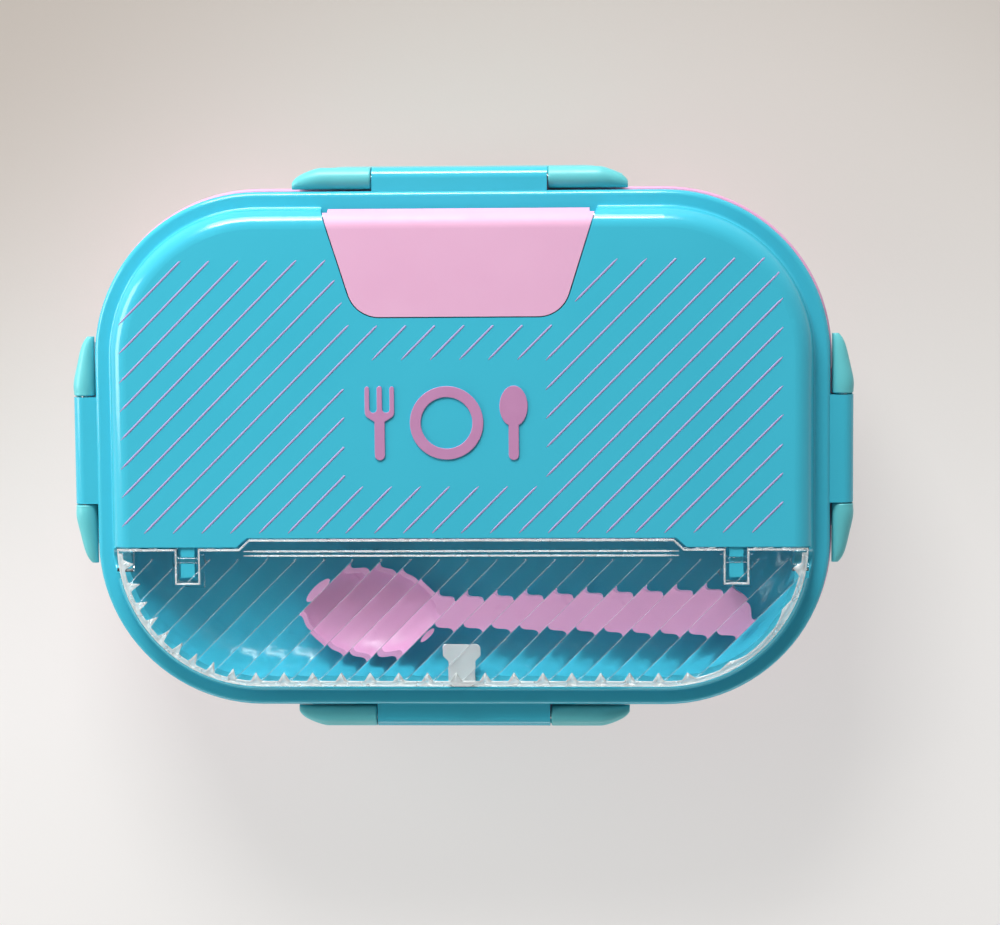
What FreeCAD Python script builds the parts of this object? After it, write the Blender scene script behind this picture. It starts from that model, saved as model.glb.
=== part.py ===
import FreeCAD, Part
import Sketcher
import math
import os
import re

doc = FreeCAD.newDocument("bento_lunch_box")
sizes = doc.addObject("Spreadsheet::Sheet", "Sizes")

# Driving sizes in millimetres and degrees
driving = [
    ("lid_length", 232, "lid rim, left to right"),
    ("lid_depth", 163, "lid rim, front to rear"),
    ("lid_corner", 52, "corner radius of the rim in plan"),
    ("lid_wall", 1.8, "wall of the lid moulding"),
    ("skirt_height", 7.7, "rim skirt, lower edge to rim top"),
    ("seat_gap", 0.3, "clearance between skirt and tub flange"),
    ("rim_round", 1.6, "rounding of the rim's upper edge"),
    ("rim_band", 5.4, "flat band between rim edge and panel"),
    ("panel_rise", 8, "panel top above the rim"),
    ("crown", 6, "rounding of the panel's upper edge"),
    ("band_round", 1, "inner rounding where the panel meets the band"),
    ("flange_top", 42, "top of the tub flange above the table"),
    ("flange_thick", 4, "thickness of the tub flange"),
    ("flange_reach", 0.8, "tub flange beyond the lid rim"),
    ("flange_round", 0.8, "rounding of the flange edges"),
    ("tub_wall", 2.2, "wall of the tub"),
    ("tub_top_inset", 5, "tub wall behind the lid rim, at the flange"),
    ("tub_base_inset", 14, "tub wall behind the lid rim, at the base"),
    ("tub_base_round", 8, "rounding of the tub's lower edge"),
    ("foot_width", 3, "width of the foot ring"),
    ("foot_height", 1, "height of the foot ring"),
    ("catch_reach", 3.2, "catch rib beyond the lid rim"),
    ("catch_extra", 8, "catch rib beyond each end of the latch block"),
    ("tray_sheet", 0.6, "thickness of the tray's sheet"),
    ("tray_edge_inset", 2.4, "tray flange behind the lid rim"),
    ("tray_basin_inset", 9, "upper basin of the tray behind the lid rim"),
    ("tray_basin_depth", 3.2, "upper basin below the tray flange"),
    ("cup_inset", 12, "tray pockets behind the lid rim"),
    ("cup_depth", 34.4, "tray pockets below the basin"),
    ("cup_draft", 9, "draft of the tray pockets"),
    ("cup_corner", 12, "inner corners of the tray pockets"),
    ("cup_floor_round", 3.6, "rounding at the floor of the tray pockets"),
    ("divider", 7, "tray divider between the pockets"),
    ("divider_place", 17, "middle of the long divider from the centre"),
    ("gasket_edge", 2.2, "gasket behind the lid rim"),
    ("gasket_width", 4.4, "width of the gasket ring"),
    ("gasket_gap", 0.1, "clearance between gasket and tray flange"),
    ("gasket_side", 0.3, "clearance between gasket and its rib"),
    ("rib_thick", 1.5, "gasket rib"),
    ("rib_depth", 4.2, "gasket rib below the rim plate"),
    ("cover_deep", 46.3, "spoon cover, panel edge to front"),
    ("split_gap", 0.5, "gap between panel and spoon cover"),
    ("ledge_half", 70, "half length of the cover's press ledge"),
    ("ledge_reach", 3, "press ledge behind the cover edge"),
    ("ledge_gap", 0.4, "clearance behind the press ledge"),
    ("ledge_slant", 3.2, "slant at the ends of the press ledge"),
    ("ledge_round", 0.8, "corners of the press ledge"),
    ("cover_thick", 2.2, "plate of the spoon cover"),
    ("cover_gap", 0.2, "clearance under the spoon cover"),
    ("bay_inset", 10.5, "mouth of the spoon bay behind the lid rim"),
    ("bay_slope", 3, "slope of the bay walls, mouth to floor"),
    ("bay_depth", 13.6, "depth of the spoon bay"),
    ("bay_round", 10, "rounding at the floor of the spoon bay"),
    ("bay_wall", 1.6, "wall of the spoon bay"),
    ("bay_rear", 3.2, "rear wall of the bay behind the panel edge"),
    ("arc_rest", 0.2, "straight left beside the corner arcs of the bay"),
    ("deck_in", 0.4, "deck edge inside the middle of the panel wall"),
    ("hinge_place", 86.4, "cover hinges from the middle"),
    ("hinge_back", 4.2, "cover hinge axis in front of the panel edge"),
    ("hinge_drop", 1.3, "cover hinge axis below the panel top"),
    ("hinge_bar", 1.15, "radius of the cover's hinge bars"),
    ("hinge_fit", 0.1, "running fit of the hinge bars"),
    ("finger_width", 4.4, "width of the lid's hinge fingers"),
    ("finger_side", 1.1, "clearance beside the fingers"),
    ("finger_front", 5.5, "fingers in front of the hinge axis"),
    ("notch_extra", 0.4, "further clearance in front of the fingers"),
    ("cheek_behind", 0.4, "hinge cheeks behind the hinge bars"),
    ("finger_drop", 0.6, "fingers below the panel top"),
    ("finger_height", 4.9, "height of the fingers"),
    ("cheek", 1.7, "cheeks beside the fingers"),
    ("cheek_drop", 2.2, "cheeks below the cover plate"),
    ("barrel_in", 6.8, "hinge barrel at each end of the cover, inside the panel edge"),
    ("barrel_side", 0.8, "clearance at the inner end of the hinge barrel"),
    ("cradle", 1.9, "floor of the cradle under the hinge barrel"),
    ("groove_pitch", 9.1, "ribbing of the cover, measured along it"),
    ("groove_width", 0.9, "width of the ribbing lines"),
    ("groove_deep", 0.3, "depth of the ribbing lines"),
    ("catch_half", 4.2, "half width of the cover catch"),
    ("catch_ear", 1.7, "ears of the cover catch"),
    ("catch_long", 13.5, "length of the cover catch"),
    ("catch_edge", 1.8, "cover catch behind the cover's front edge"),
    ("catch_sunk", 1.2, "depth of the catch's seat in the cover"),
    ("catch_nose", 1.6, "nose of the catch below the cover"),
    ("catch_step", 0.6, "shoulder of the catch behind its ears"),
    ("catch_soft", 0.4, "rounding of the catch's shoulders"),
    ("nose_side", 0.6, "nose of the catch inside its sides"),
    ("nose_gap", 0.5, "clearance between nose and bay wall"),
    ("nose_thick", 2.4, "nose of the catch, front to rear"),
    ("flap_rear_half", 42.8, "half width of the flap at the rear"),
    ("flap_front_half", 32.2, "half width of the flap at the front"),
    ("flap_length", 33.5, "length of the flap"),
    ("flap_corner", 10, "front corners of the flap"),
    ("flap_thick", 2.6, "plate of the flap"),
    ("flap_gap", 0.35, "clearance around the flap"),
    ("flap_axis_in", 2.5, "flap hinge axis in front of the panel's rear wall"),
    ("flap_axis_rise", 3.2, "flap hinge axis above the rim"),
    ("flap_pin", 0.9, "radius of the flap pin"),
    ("pin_fit", 0.05, "running fit of the pins"),
    ("flap_lip", 4.9, "hinge lip of the flap, front to rear"),
    ("flap_lip_rise", 1.9, "hinge lip above the rim"),
    ("flap_wall", 2.4, "wall around the flap's seat"),
    ("seat_drop", 3.3, "flap seat below the panel top along the rear wall"),
    ("vent_back", 26.1, "steam hole in front of the panel's rear wall"),
    ("vent_hole", 2.6, "radius of the steam hole"),
    ("plug_fit", 0.35, "clearance of the plug in the steam hole"),
    ("plug_flange", 4.4, "radius of the plug's flange"),
    ("plug_tip", 1, "plug below the rim top"),
    ("plug_lead", 0.6, "narrowing at the plug's lower end"),
    ("plug_rest", 0.4, "clearance under the plug's flange"),
    ("plug_edge", 1.2, "edge of the plug's flange"),
    ("plug_cone", 0.6, "slope from the plug's flange to its stem"),
    ("plug_soft", 0.4, "rounding of the plug's edges"),
    ("latch_axis_out", 4, "latch axis beyond the lid rim"),
    ("latch_radius", 3.4, "radius of the latch ears and blocks"),
    ("block_flat", 0.2, "flat left on the outer side of the latch blocks"),
    ("latch_low", 0.1, "latch block above the skirt's lower edge"),
    ("latch_plate", 2.8, "thickness of the latch plate"),
    ("latch_drop", 25.8, "latch plate below its axis"),
    ("latch_corner", 9, "lower corners of the latch plate"),
    ("latch_round", 1.1, "rounding of the latch plate's outer edges"),
    ("latch_swing", 3.9, "clear radius around the latch block"),
    ("ear_gap", 0.35, "clearance between ear and block"),
    ("long_latch", 106, "front and rear latches"),
    ("long_block", 55, "latch blocks at front and rear"),
    ("short_latch", 73, "left and right latches"),
    ("short_block", 34, "latch blocks at left and right"),
    ("long_tip", 10, "curved ends of the front and rear latches"),
    ("short_tip", 18, "curved ends of the left and right latches"),
    ("hook_tip", 1.8, "tip of the latch hook beyond the lid rim"),
    ("hook_thick", 2.3, "thickness of the latch hook"),
    ("hook_soft", 0.4, "rounding of the hook's tip"),
    ("hook_gap", 0.3, "clearance between hook and catch rib"),
    ("latch_pin", 1.2, "radius of the latch pins"),
    ("latch_pin_in", 9, "latch pin inside each ear"),
    ("bore_extra", 0.6, "latch bores beyond the pins"),
    ("spoon_rest", 0.3, "clearance under the spoon"),
    ("spoon_end", 11.3, "handle end from the end of the bay floor"),
    ("spoon_front", 16.4, "middle of the spoon behind the front of the bay floor"),
    ("bowl_long", 22, "half length of the spoon bowl"),
    ("bowl_half", 14.5, "half width of the spoon bowl"),
    ("bowl_deep", 8, "depth of the spoon bowl"),
    ("spoon_sheet", 1.4, "wall of the spoon bowl"),
    ("handle_rise", 6.2, "underside of the handle end above the bowl's underside"),
    ("handle_thick", 2.4, "thickness of the spoon handle"),
    ("handle_neck", 4.9, "half width of the handle at the bowl"),
    ("handle_end", 7.2, "half width of the handle at its end"),
    ("handle_long", 120, "handle end from the middle of the bowl"),
    ("handle_root", 4, "handle inside the end of the bowl"),
    ("handle_bend", 14, "bend of the handle beyond the bowl"),
    ("handle_lift", 0.8, "handle at its bend above the bowl's rim"),
    ("handle_arch", 24, "radius of the handle's bend"),
    ("handle_sweep", 30, "radius where the handle widens"),
    ("handle_tip", 10, "straight sides of the handle's end"),
    ("handle_rest", 0.4, "straight left across the handle's end"),
]
names = set()
for row, (alias, number, note) in enumerate(driving, start=1):
    sizes.set(f"A{row}", alias)
    sizes.set(f"B{row}", str(number))
    sizes.set(f"C{row}", note)
    sizes.setAlias(f"B{row}", alias)
    names.add(alias)
doc.recompute()

# Places that follow from the driving sizes
skirt_base = "(flange_top + seat_gap)"
rim_top = "(flange_top + seat_gap + skirt_height)"
rim_under = f"({rim_top} - lid_wall)"
panel_top = f"({rim_top} + panel_rise)"
cover_base = f"({panel_top} - cover_thick)"
bay_mouth = f"({cover_base} - cover_gap)"
bay_floor = f"({bay_mouth} - bay_depth)"
split_line = "(lid_depth / 2 - rim_band - cover_deep)"
bay_rear_wall = f"(-{split_line} + bay_rear)"
cover_edge = f"(-{split_line} - split_gap)"
hinge_y = f"(-{split_line} - hinge_back)"
hinge_z = f"({panel_top} - hinge_drop)"
panel_rear = "(lid_depth / 2 - rim_band)"
flap_y = f"({panel_rear} - flap_axis_in)"
flap_z = f"({rim_top} + flap_axis_rise)"
vent_y = f"({panel_rear} - vent_back)"
latch_z = f"({skirt_base} + latch_low + latch_radius)"
catch_under = "(flange_top - flange_thick)"
tray_top = "(flange_top + tray_sheet)"
basin_floor = f"({tray_top} - tray_basin_depth)"
far = "(lid_length)"


def bound(text):
    return re.sub(r"[a-z_]+", lambda word: f"Sizes.{word[0]}" if word[0] in names else word[0], text)


def value(text):
    return float(sizes.evalExpression(bound(text)))


def drive(item, place, text):
    item.setExpression(place, bound(text))


def new_body(label):
    body = doc.addObject("PartDesign::Body", label)
    body.Label = label
    return body


def new_sketch(body, label, plane, offset="0", across="0", along="0"):
    sketch = body.newObject("Sketcher::SketchObject", label)
    support = [item for item in body.Origin.OriginFeatures if item.Role == plane][0]
    sketch.AttachmentSupport = [(support, "")]
    sketch.MapMode = "FlatFace"
    drive(sketch, "AttachmentOffset.Base.x", across)
    drive(sketch, "AttachmentOffset.Base.y", along)
    drive(sketch, "AttachmentOffset.Base.z", offset)
    return sketch


def add_size(sketch, constraint, text):
    index = sketch.addConstraint(constraint)
    drive(sketch, f"Constraints[{index}]", text)


def fix_point(sketch, geometry, position, corner, point):
    add_size(sketch, Sketcher.Constraint("DistanceX", -1, 1, geometry, position, point.x), corner[0])
    add_size(sketch, Sketcher.Constraint("DistanceY", -1, 1, geometry, position, point.y), corner[1])


# A closed outline from its corners, each with its rounding
def draw_outline(sketch, corners):
    points = [FreeCAD.Vector(value(corner[0]), value(corner[1]), 0) for corner in corners]
    rounds = [value(corner[2]) for corner in corners]
    count = len(corners)
    arrive, leave, arcs = [], [], []
    for i in range(count):
        back = (points[i - 1] - points[i]).normalize()
        ahead = (points[(i + 1) % count] - points[i]).normalize()
        half = back.getAngle(ahead) / 2
        reach = rounds[i] / math.tan(half) if rounds[i] else 0
        arrive.append(points[i] + back * reach)
        leave.append(points[i] + ahead * reach)
        turn = ahead.cross(back).z
        if not rounds[i]:
            arcs.append(None)
            continue
        middle = points[i] + (back + ahead).normalize() * (rounds[i] / math.sin(half))
        first, last = (arrive[i], leave[i]) if turn > 0 else (leave[i], arrive[i])
        start = math.atan2(first.y - middle.y, first.x - middle.x)
        end = math.atan2(last.y - middle.y, last.x - middle.x)
        circle = Part.Circle(middle, FreeCAD.Vector(0, 0, 1), rounds[i])
        arc = sketch.addGeometry(Part.ArcOfCircle(circle, start, end))
        arcs.append((arc, 1, 2) if turn > 0 else (arc, 2, 1))
    lines = [
        sketch.addGeometry(Part.LineSegment(leave[i], arrive[(i + 1) % count]))
        for i in range(count)
    ]
    for i in range(count):
        before, after = lines[i - 1], lines[i]
        if arcs[i] is None:
            sketch.addConstraint(Sketcher.Constraint("Coincident", before, 2, after, 1))
            fix_point(sketch, after, 1, corners[i], points[i])
            continue
        arc, first, last = arcs[i]
        mark = sketch.addGeometry(Part.Point(points[i]), True)
        fix_point(sketch, mark, 1, corners[i], points[i])
        sketch.addConstraint(Sketcher.Constraint("PointOnObject", mark, 1, before))
        sketch.addConstraint(Sketcher.Constraint("PointOnObject", mark, 1, after))
        sketch.addConstraint(Sketcher.Constraint("Tangent", before, 2, arc, first))
        sketch.addConstraint(Sketcher.Constraint("Tangent", arc, last, after, 1))
        add_size(sketch, Sketcher.Constraint("Radius", arc, rounds[i]), corners[i][2])


def draw_circle(sketch, across, along, radius):
    middle = FreeCAD.Vector(value(across), value(along), 0)
    circle = sketch.addGeometry(Part.Circle(middle, FreeCAD.Vector(0, 0, 1), value(radius)))
    fix_point(sketch, circle, 3, (across, along), middle)
    add_size(sketch, Sketcher.Constraint("Radius", circle, value(radius)), radius)


def box_corners(left, right, low, high, rounding="0"):
    return [(left, low, rounding), (right, low, rounding), (right, high, rounding), (left, high, rounding)]


# The rim's outline in plan, moved inwards by an inset
def rim_corners(inset):
    side = f"(lid_length / 2 - ({inset}))"
    end = f"(lid_depth / 2 - ({inset}))"
    return box_corners(f"-{side}", side, f"-{end}", end, f"(lid_corner - ({inset}))")


def add_feature(body, kind, label, sketch, length, both=False, back=False, draft=""):
    feature = body.newObject(f"PartDesign::{kind}", label)
    feature.Profile = sketch
    drive(feature, "Length", length)
    feature.Reversed = back
    if both:
        feature.SideType = "Symmetric"
    if draft:
        drive(feature, "TaperAngle", draft)
    sketch.Visibility = False
    doc.recompute()
    return feature


def add_loft(body, kind, label, first, last):
    loft = body.newObject(f"PartDesign::{kind}", label)
    loft.Profile = first
    loft.Sections = [last]
    loft.Ruled = True
    doc.recompute()
    return loft


def add_fillet(body, label, base, radius, chosen):
    edges = [f"Edge{i}" for i, edge in enumerate(base.Shape.Edges, start=1) if chosen(edge)]
    fillet = body.newObject("PartDesign::Fillet", label)
    fillet.Base = (base, edges)
    drive(fillet, "Radius", radius)
    doc.recompute()
    return fillet


def level(edge, height):
    box = edge.BoundBox
    return abs(box.ZMin - height) < 0.01 and abs(box.ZMax - height) < 0.01


# The raised panel with its crowned edge, shared by lid, spoon cover and flap
def add_panel(body, label):
    sketch = new_sketch(body, f"{label}_plan", "XY_Plane", rim_top)
    draw_outline(sketch, rim_corners("rim_band"))
    panel = add_feature(body, "Pad", label, sketch, "panel_rise")
    top = value(panel_top)
    return add_fillet(body, f"{label}_crown", panel, "crown", lambda edge: level(edge, top))


# Outer tub with flange, catch ribs and foot ring
tub = new_body("outer_tub")
base_plan = new_sketch(tub, "tub_base_plan", "XY_Plane")
draw_outline(base_plan, rim_corners("tub_base_inset"))
upper_plan = new_sketch(tub, "tub_upper_plan", "XY_Plane", catch_under)
draw_outline(upper_plan, rim_corners("tub_top_inset"))
tub_block = add_loft(tub, "AdditiveLoft", "tub_block", base_plan, upper_plan)
tub_rounded = add_fillet(tub, "tub_base_rounding", tub_block, "tub_base_round", lambda edge: level(edge, 0))
flange_plan = new_sketch(tub, "flange_plan", "XY_Plane", catch_under)
draw_outline(flange_plan, rim_corners("-flange_reach"))
flange = add_feature(tub, "Pad", "flange", flange_plan, "flange_thick")
flange_width = value("lid_length + 2 * flange_reach")


def on_flange_edge(edge):
    box = edge.BoundBox
    flat = level(edge, value("flange_top")) or level(edge, value(catch_under))
    reach = max(abs(box.XMin), abs(box.XMax), abs(box.YMin) + value("(lid_length - lid_depth) / 2"))
    reach = max(reach, abs(box.YMax) + value("(lid_length - lid_depth) / 2"))
    return flat and reach > flange_width / 2 - 0.01


flange_rounded = add_fillet(tub, "flange_rounding", flange, "flange_round", on_flange_edge)
cavity_floor = "(foot_height + tub_wall)"
floor_plan = new_sketch(tub, "cavity_floor_plan", "XY_Plane", cavity_floor)
draw_outline(floor_plan, rim_corners("tub_base_inset + tub_wall"))
mouth_plan = new_sketch(tub, "cavity_mouth_plan", "XY_Plane", "flange_top")
draw_outline(mouth_plan, rim_corners("tub_top_inset + tub_wall"))
cavity = add_loft(tub, "SubtractiveLoft", "cavity", floor_plan, mouth_plan)
inner_floor = value(cavity_floor)
add_fillet(
    tub, "cavity_rounding", cavity, "tub_base_round - tub_wall", lambda edge: level(edge, inner_floor)
)
foot_plan = new_sketch(tub, "foot_plan", "XY_Plane")
draw_outline(foot_plan, rim_corners("tub_base_inset + tub_base_round + foot_width"))
add_feature(tub, "Pocket", "foot_recess", foot_plan, "foot_height", back=True)
catch_plan = new_sketch(tub, "catch_plan", "XY_Plane", catch_under)
long_catch = "(long_block / 2 + catch_extra)"
short_catch = "(short_block / 2 + catch_extra)"
side_outer = "(lid_length / 2 + catch_reach)"
side_inner = "(lid_length / 2 - flange_thick)"
end_outer = "(lid_depth / 2 + catch_reach)"
end_inner = "(lid_depth / 2 - flange_thick)"
for left, right, front, rear in (
    (f"-{long_catch}", long_catch, end_inner, end_outer),
    (f"-{long_catch}", long_catch, f"-{end_outer}", f"-{end_inner}"),
    (side_inner, side_outer, f"-{short_catch}", short_catch),
    (f"-{side_outer}", f"-{side_inner}", f"-{short_catch}", short_catch),
):
    draw_outline(catch_plan, box_corners(left, right, front, rear, "flange_round"))
add_feature(tub, "Pad", "catch_ribs", catch_plan, "flange_thick")

# Pressed steel tray with an upper basin and three pockets
tray = new_body("tray_outer_form")
edge_plan = new_sketch(tray, "tray_edge_plan", "XY_Plane", "flange_top")
draw_outline(edge_plan, rim_corners("tray_edge_inset"))
add_feature(tray, "Pad", "tray_edge", edge_plan, "tray_sheet")
basin_plan = new_sketch(tray, "basin_outer_plan", "XY_Plane", f"{basin_floor} - tray_sheet")
draw_outline(basin_plan, rim_corners("tray_basin_inset - tray_sheet"))
add_feature(tray, "Pad", "basin_outer", basin_plan, "tray_basin_depth")


def draw_cups(sketch, grow):
    side = f"(lid_length / 2 - cup_inset + {grow})"
    end = f"(lid_depth / 2 - cup_inset + {grow})"
    large = f"(lid_corner - cup_inset + {grow})"
    small = f"(cup_corner + {grow})"
    left = f"(divider_place - divider / 2 + {grow})"
    right = f"(divider_place + divider / 2 - {grow})"
    inner = f"(divider / 2 - {grow})"
    front = f"-{end}"
    middle = f"-{inner}"
    draw_outline(
        sketch,
        [(f"-{side}", front, large), (left, front, small), (left, end, small), (f"-{side}", end, large)],
    )
    draw_outline(
        sketch,
        [(right, inner, small), (side, inner, small), (side, end, large), (right, end, small)],
    )
    draw_outline(
        sketch,
        [(right, front, small), (side, front, large), (side, middle, small), (right, middle, small)],
    )


cups_plan = new_sketch(tray, "cups_outer_plan", "XY_Plane", f"{basin_floor} - tray_sheet")
draw_cups(cups_plan, "tray_sheet")
cups_outer = add_feature(tray, "Pad", "cups_outer", cups_plan, "cup_depth", back=True, draft="-cup_draft")
cup_under = value(f"{basin_floor} - tray_sheet - cup_depth")
add_fillet(
    tray, "cups_outer_rounding", cups_outer, "cup_floor_round + tray_sheet",
    lambda edge: level(edge, cup_under),
)
hollow = new_body("tray_inner_form")
basin_inner_plan = new_sketch(hollow, "basin_inner_plan", "XY_Plane", basin_floor)
draw_outline(basin_inner_plan, rim_corners("tray_basin_inset"))
add_feature(hollow, "Pad", "basin_inner", basin_inner_plan, "tray_basin_depth")
cups_inner_plan = new_sketch(hollow, "cups_inner_plan", "XY_Plane", basin_floor)
draw_cups(cups_inner_plan, "0")
cups_inner = add_feature(
    hollow, "Pad", "cups_inner", cups_inner_plan, "cup_depth", back=True, draft="-cup_draft"
)
cup_bottom = value(f"{basin_floor} - cup_depth")
add_fillet(
    hollow, "cups_inner_rounding", cups_inner, "cup_floor_round",
    lambda edge: level(edge, cup_bottom),
)
pressed = doc.addObject("Part::Cut", "steel_tray")
pressed.Label = "steel_tray"
pressed.Base = tray
pressed.Tool = hollow
doc.recompute()

# Lid moulding: rim, panel, hollows, spoon bay, flap seat, latch blocks and hinge fingers
lid = new_body("lid_shell")
rim_plan = new_sketch(lid, "rim_plan", "XY_Plane", skirt_base)
draw_outline(rim_plan, rim_corners("0"))
rim = add_feature(lid, "Pad", "rim", rim_plan, "skirt_height")
rim_height = value(rim_top)
add_fillet(lid, "rim_rounding", rim, "rim_round", lambda edge: level(edge, rim_height))
panel_crowned = add_panel(lid, "panel")
panel_edge = value("lid_length / 2 - rim_band")


def on_band(edge):
    box = edge.BoundBox
    shift = value("(lid_length - lid_depth) / 2")
    reach = max(abs(box.XMin), abs(box.XMax), abs(box.YMin) + shift, abs(box.YMax) + shift)
    return level(edge, rim_height) and abs(reach - panel_edge) < 0.01


add_fillet(lid, "band_rounding", panel_crowned, "band_round", on_band)
skirt_void_plan = new_sketch(lid, "skirt_void_plan", "XY_Plane", skirt_base)
draw_outline(skirt_void_plan, rim_corners("lid_wall"))
add_feature(lid, "Pocket", "skirt_void", skirt_void_plan, "skirt_height - lid_wall", back=True)
panel_void_plan = new_sketch(lid, "panel_void_plan", "XY_Plane", rim_under)
draw_outline(panel_void_plan, rim_corners("rim_band + lid_wall"))
panel_void = add_feature(lid, "Pocket", "panel_void", panel_void_plan, "panel_rise", back=True)
void_top = value(f"{panel_top} - lid_wall")
add_fillet(lid, "void_crown", panel_void, "crown - lid_wall", lambda edge: level(edge, void_top))
rib_outer = "gasket_edge + gasket_width + gasket_side"
rib_plan = new_sketch(lid, "rib_plan", "XY_Plane", f"{rim_under} - rib_depth")
draw_outline(rib_plan, rim_corners(rib_outer))
draw_outline(rib_plan, rim_corners(f"{rib_outer} + rib_thick"))
add_feature(lid, "Pad", "gasket_rib", rib_plan, "rib_depth")


# Part of the rim's outline in front of a straight rear edge
def bay_corners(inset, rear, corner="0"):
    side = f"(lid_length / 2 - ({inset}))"
    front = f"(lid_depth / 2 - ({inset}))"
    rounding = f"min(lid_corner - ({inset}); {front} + {rear} - ({corner}) - arc_rest)"
    return [
        (f"-{side}", rear, corner),
        (f"-{side}", f"-{front}", rounding),
        (side, f"-{front}", rounding),
        (side, rear, corner),
    ]


deck_plan = new_sketch(lid, "deck_plan", "XY_Plane", f"{bay_mouth} - lid_wall")
draw_outline(deck_plan, bay_corners("rim_band + lid_wall / 2 + deck_in", f"({bay_rear_wall} + bay_wall)"))
add_feature(lid, "Pad", "deck", deck_plan, "lid_wall")
shell_mouth_plan = new_sketch(lid, "bay_shell_mouth_plan", "XY_Plane", bay_mouth)
shell_rear = f"({bay_rear_wall} + bay_wall)"
draw_outline(shell_mouth_plan, bay_corners("bay_inset - bay_wall", shell_rear, "bay_wall"))
shell_floor_plan = new_sketch(lid, "bay_shell_floor_plan", "XY_Plane", f"{bay_floor} - bay_wall")
draw_outline(shell_floor_plan, bay_corners("bay_inset + bay_slope - bay_wall", shell_rear, "bay_wall"))
add_loft(lid, "AdditiveLoft", "bay_shell", shell_floor_plan, shell_mouth_plan)
wall_plan = new_sketch(lid, "bay_rear_plan", "XY_Plane", f"{bay_mouth} - lid_wall")
# The wall ends where it would come through the crown
wall_side = "(lid_length / 2 - rim_band - crown / 2)"
wall_rear = f"({bay_rear_wall} + bay_wall)"
draw_outline(wall_plan, box_corners(f"-{wall_side}", wall_side, bay_rear_wall, wall_rear))
add_feature(lid, "Pad", "bay_rear", wall_plan, f"{panel_top} - {bay_mouth} + lid_wall / 2")


# The flap's outline in plan, grown by a clearance, open to the rear
def flap_corners(grow, rear):
    slant = "((flap_rear_half - flap_front_half) / flap_length)"
    front = f"({panel_rear} - flap_length - ({grow}))"
    wider = f"(sqrt(1 + {slant} ^ 2) * ({grow}))"
    front_half = f"(flap_front_half + {wider} - {slant} * ({grow}))"
    rear_half = f"(flap_rear_half + {wider} + {slant} * ({rear} - {panel_rear}))"
    rounding = f"(flap_corner + ({grow}))"
    return [
        (f"-{rear_half}", rear, "0"),
        (f"-{front_half}", front, rounding),
        (f"{front_half}", front, rounding),
        (rear_half, rear, "0"),
    ]


seat_plan = new_sketch(lid, "flap_seat_plan", "XY_Plane", rim_under)
draw_outline(seat_plan, flap_corners("flap_gap + flap_wall", f"({panel_rear} - lid_wall / 2)"))
# Near the panel's rear wall the seat is lower, so that it stays under the crown
add_feature(lid, "Pad", "flap_seat", seat_plan, "panel_rise + lid_wall - seat_drop")
seat_high_plan = new_sketch(lid, "flap_seat_high_plan", "XY_Plane", rim_under)
draw_outline(seat_high_plan, flap_corners("flap_gap + flap_wall", f"({panel_rear} - crown / 2)"))
add_feature(lid, "Pad", "flap_seat_high", seat_high_plan, "panel_rise + lid_wall / 2")
seat_cut_plan = new_sketch(lid, "flap_space_plan", "XY_Plane", panel_top)
draw_outline(seat_cut_plan, flap_corners("flap_gap", f"({panel_rear} + rim_band / 2)"))
add_feature(lid, "Pocket", "flap_space", seat_cut_plan, "panel_rise")
vent_plan = new_sketch(lid, "vent_plan", "XY_Plane", rim_top)
draw_circle(vent_plan, "0", vent_y, "vent_hole")
add_feature(lid, "Pocket", "vent", vent_plan, "3 * lid_wall")
flap_bore_plan = new_sketch(lid, "flap_bore_plan", "YZ_Plane")
draw_circle(flap_bore_plan, flap_y, flap_z, "flap_pin")
flap_pin_half = "(flap_rear_half + flap_wall / 2)"
add_feature(lid, "Pocket", "flap_bore", flap_bore_plan, f"2 * {flap_pin_half}", both=True)
cover_plan = new_sketch(lid, "cover_space_plan", "XY_Plane", panel_top)
slot_half = "(ledge_half + ledge_gap * 2)"
slot_rear = f"({cover_edge} + ledge_reach + ledge_gap)"
slot_short = f"({slot_half} - ledge_slant)"
draw_outline(
    cover_plan,
    [
        (f"-{far}", f"-{split_line}", "0"),
        (f"-{far}", f"-{far}", "0"),
        (far, f"-{far}", "0"),
        (far, f"-{split_line}", "0"),
        (slot_half, f"-{split_line}", "0"),
        (slot_short, slot_rear, "ledge_round"),
        (f"-{slot_short}", slot_rear, "ledge_round"),
        (f"-{slot_half}", f"-{split_line}", "0"),
    ],
)
add_feature(lid, "Pocket", "cover_space", cover_plan, "cover_thick + cover_gap")
# Cradles in which the barrels at the cover's ends turn
barrel = "(hinge_back - split_gap)"
relief = "(hinge_back - hinge_fit)"
barrel_inner = "(lid_length / 2 - rim_band - barrel_in)"
barrel_outer = "(lid_length / 2 - rim_band - crown / 4)"
cradle_plan = new_sketch(lid, "cradle_plan", "XY_Plane", f"{hinge_z} - {relief} - cradle")
cradle_ends = (f"({hinge_y} - {relief} - cradle)", f"({hinge_y} + {relief} + cradle)")
cradle_inner = f"({barrel_inner} - barrel_side - cradle)"
draw_outline(cradle_plan, box_corners(cradle_inner, barrel_outer, *cradle_ends))
draw_outline(cradle_plan, box_corners(f"-{barrel_outer}", f"-{cradle_inner}", *cradle_ends))
add_feature(lid, "Pad", "cradles", cradle_plan, f"{bay_mouth} - {hinge_z} + {relief} + cradle")
hollow_mouth_plan = new_sketch(lid, "bay_mouth_plan", "XY_Plane", bay_mouth)
draw_outline(hollow_mouth_plan, bay_corners("bay_inset", bay_rear_wall))
hollow_floor_plan = new_sketch(lid, "bay_floor_plan", "XY_Plane", bay_floor)
draw_outline(hollow_floor_plan, bay_corners("bay_inset + bay_slope", bay_rear_wall))
bay_hollow = add_loft(lid, "SubtractiveLoft", "bay_hollow", hollow_floor_plan, hollow_mouth_plan)
bay_level = value(bay_floor)
bay_back = value(bay_rear_wall)
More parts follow.
